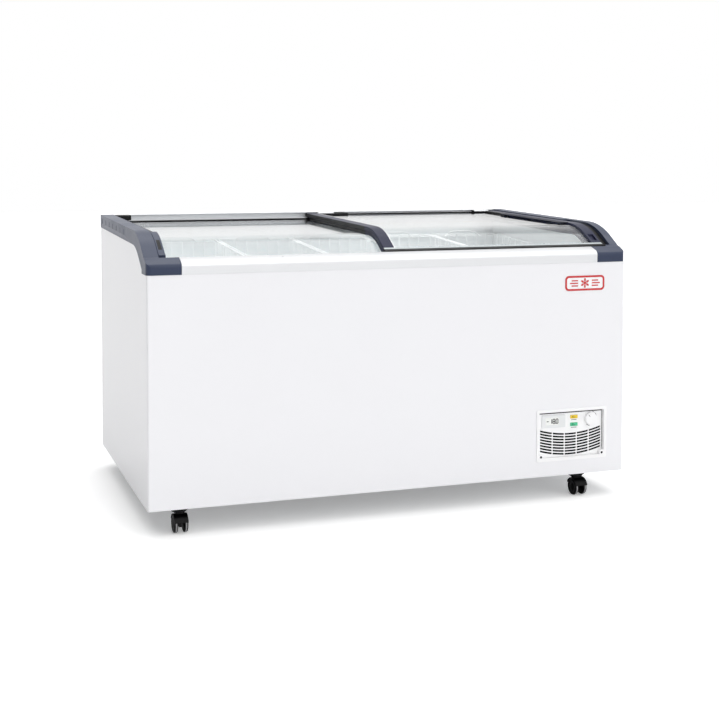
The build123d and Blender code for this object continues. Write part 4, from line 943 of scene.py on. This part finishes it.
def slot_shade_filter(work):
    """Close mesh behind the slots, painted near black as the shade deep inside them."""
    (x0, y_front, z0), (x1, y_back, z1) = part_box("grille_panel")
    left, right, low, high = x0 + FILTER_INSET, x1 - FILTER_INSET, z0 + FILTER_FOOT, z0 + FILTER_HEIGHT
    near, middle, far = (y_back + layer for layer in FILTER_LAYERS)
    for row in range(FILTER_ROWS):
        z = low + (high - low) * row / (FILTER_ROWS - 1)
        bar(work, (left, z), (right, z), ROW_STROKE, middle, near)
    for column in range(FILTER_COLUMNS):
        x = left + (right - left) * column / (FILTER_COLUMNS - 1)
        bar(work, (x, low), (x, high), COLUMN_STROKE, far, middle)


softened("grille_panel", PANEL_ROUNDING, segments=1, second="ink", belongs=slot_wall_shade)
make_piece("display_digits", digits, "ink", body_of["display_lens"])
make_piece("dial_marks", dial_marks, "ink", panel_body)
make_piece("knob_pointer", knob_pointer, "ink", body_of["thermostat_knob"])
make_piece("lamp_labels", lamp_labels, "ink", panel_body)
make_piece("panel_gap_shadow", panel_gap_shadow, "rubber_black", panel_body)
make_piece("slot_shade_filter", slot_shade_filter, "ink", panel_body)


# ---------------------------------------------------------------- casters
SWIVEL_Y = 0.367
HUB_RADIUS = 0.0045
WHEEL_INNER, BAND_MIDDLE = 0.42, 0.71  # parts of the way from the middle to a wheel's outer face
FORK_ROUNDING = 0.0012
COLLAR = (
    (0.008, 0.0632), (0.0275, 0.0632), (0.0285, 0.0642), (0.0285, 0.0676), (0.0278, 0.0685), (0.008, 0.0685),
)
RACE = ((0.016, 0.0565), (0.0222, 0.058), (0.0232, 0.0605), (0.0222, 0.063), (0.016, 0.063))


def swivel_axis(fork):
    """Foot of the axis that a fork turns about: midway across it, and ahead of its wheels by their trail."""
    (x0, y0, z0), (x1, y1, z1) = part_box(fork)
    return (x0 + x1) / 2, math.copysign(SWIVEL_Y, (y0 + y1) / 2), 0


def wheel(work, centre, radius, half, side):
    """One wheel of the pair, with a crowned tread and a dished outer face.
    Its profile runs from the inner end of the hub, over the tread, to the outer end of the hub."""
    inner, outer = side * half * WHEEL_INNER, side * half
    step = (outer - inner) / 10
    profile = [(HUB_RADIUS, inner), (radius - 0.004, inner), (radius - 0.001, inner + step)]
    profile += [(radius - 0.0003, inner + 3 * step), (radius - 0.0003, outer - 3 * step)]
    profile += [(radius - 0.001, outer - step)]
    profile += [(radius - 0.003, outer), (radius - 0.007, outer), (radius - 0.009, outer - step)]
    profile += [(0.011, outer - step), (0.009, outer), (HUB_RADIUS, outer)]
    lathe(work, profile, centre, upright=False)


def tread_highlight_bands(work, centre, radius, half):
    """Painted highlight: a pale line around each wheel's tread."""
    for side in (-1, 1):
        middle = side * half * BAND_MIDDLE
        profile = [(radius - 0.003, middle - 0.0022), (radius, middle - 0.0018)]
        profile += [(radius, middle + 0.0018), (radius - 0.003, middle + 0.0022)]
        lathe(work, profile, centre, upright=False, sides=60)


def twin_wheels(work, centre, radius, half):
    for side in (-1, 1):
        wheel(work, centre, radius, half, side)


def caster(corner):
    wheels, fork = f"caster_wheels_{corner}", f"caster_fork_{corner}"
    wheels_body, fork_body = body_of[wheels], body_of[fork]
    (x0, y0, z0), (x1, y1, z1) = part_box(wheels)
    pair = ((x0 + x1) / 2, (y0 + y1) / 2, (z0 + z1) / 2), (z1 - z0) / 2, (x1 - x0) / 2
    make_piece(wheels + "_bands", lambda work: tread_highlight_bands(work, *pair), "tread_band", wheels_body)
    make_piece(wheels + "_tread", lambda work: twin_wheels(work, *pair), "caster_black", wheels_body, wheels)
    softened(fork, FORK_ROUNDING)
    axis = swivel_axis(fork)
    make_piece(fork + "_collar", lambda work: lathe(work, COLLAR, axis), "caster_black", fork_body)
    make_piece(fork + "_race", lambda work: lathe(work, RACE, axis), "caster_steel", fork_body)


for corner in ("front_left", "front_right", "rear_left", "rear_right"):
    caster(corner)


# ---------------------------------------------------------------- floor
FLOOR_SIZE = 40
FLOOR_COLOR = (0.96, 0.96, 0.96, 1)
SHADOW_LIFT = 0.28  # the paper's own light, seen by the camera alone, which keeps the contact shadow pale


def floor_paper():
    """White studio paper."""
    paper = surface("floor_white", FLOOR_COLOR, 0.9, blotch=(3, 0.002), grain=(400, 0.01))
    tree = paper.node_tree
    shader = tree.nodes["Principled BSDF"]
    path = tree.nodes.new("ShaderNodeLightPath")
    lift = tree.nodes.new("ShaderNodeMath")
    lift.operation = "MULTIPLY"
    lift.inputs[1].default_value = SHADOW_LIFT
    tree.links.new(path.outputs["Is Camera Ray"], lift.inputs[0])
    tree.links.new(lift.outputs["Value"], shader.inputs["Emission Strength"])
    shader.inputs["Emission Color"].default_value = WHITE
    return paper


def floor():
    bpy.ops.mesh.primitive_plane_add(size=FLOOR_SIZE, location=(0, 0, 0))
    plane = bpy.context.object
    plane.name = "floor"
    plane.data.materials.append(floor_paper())


floor()
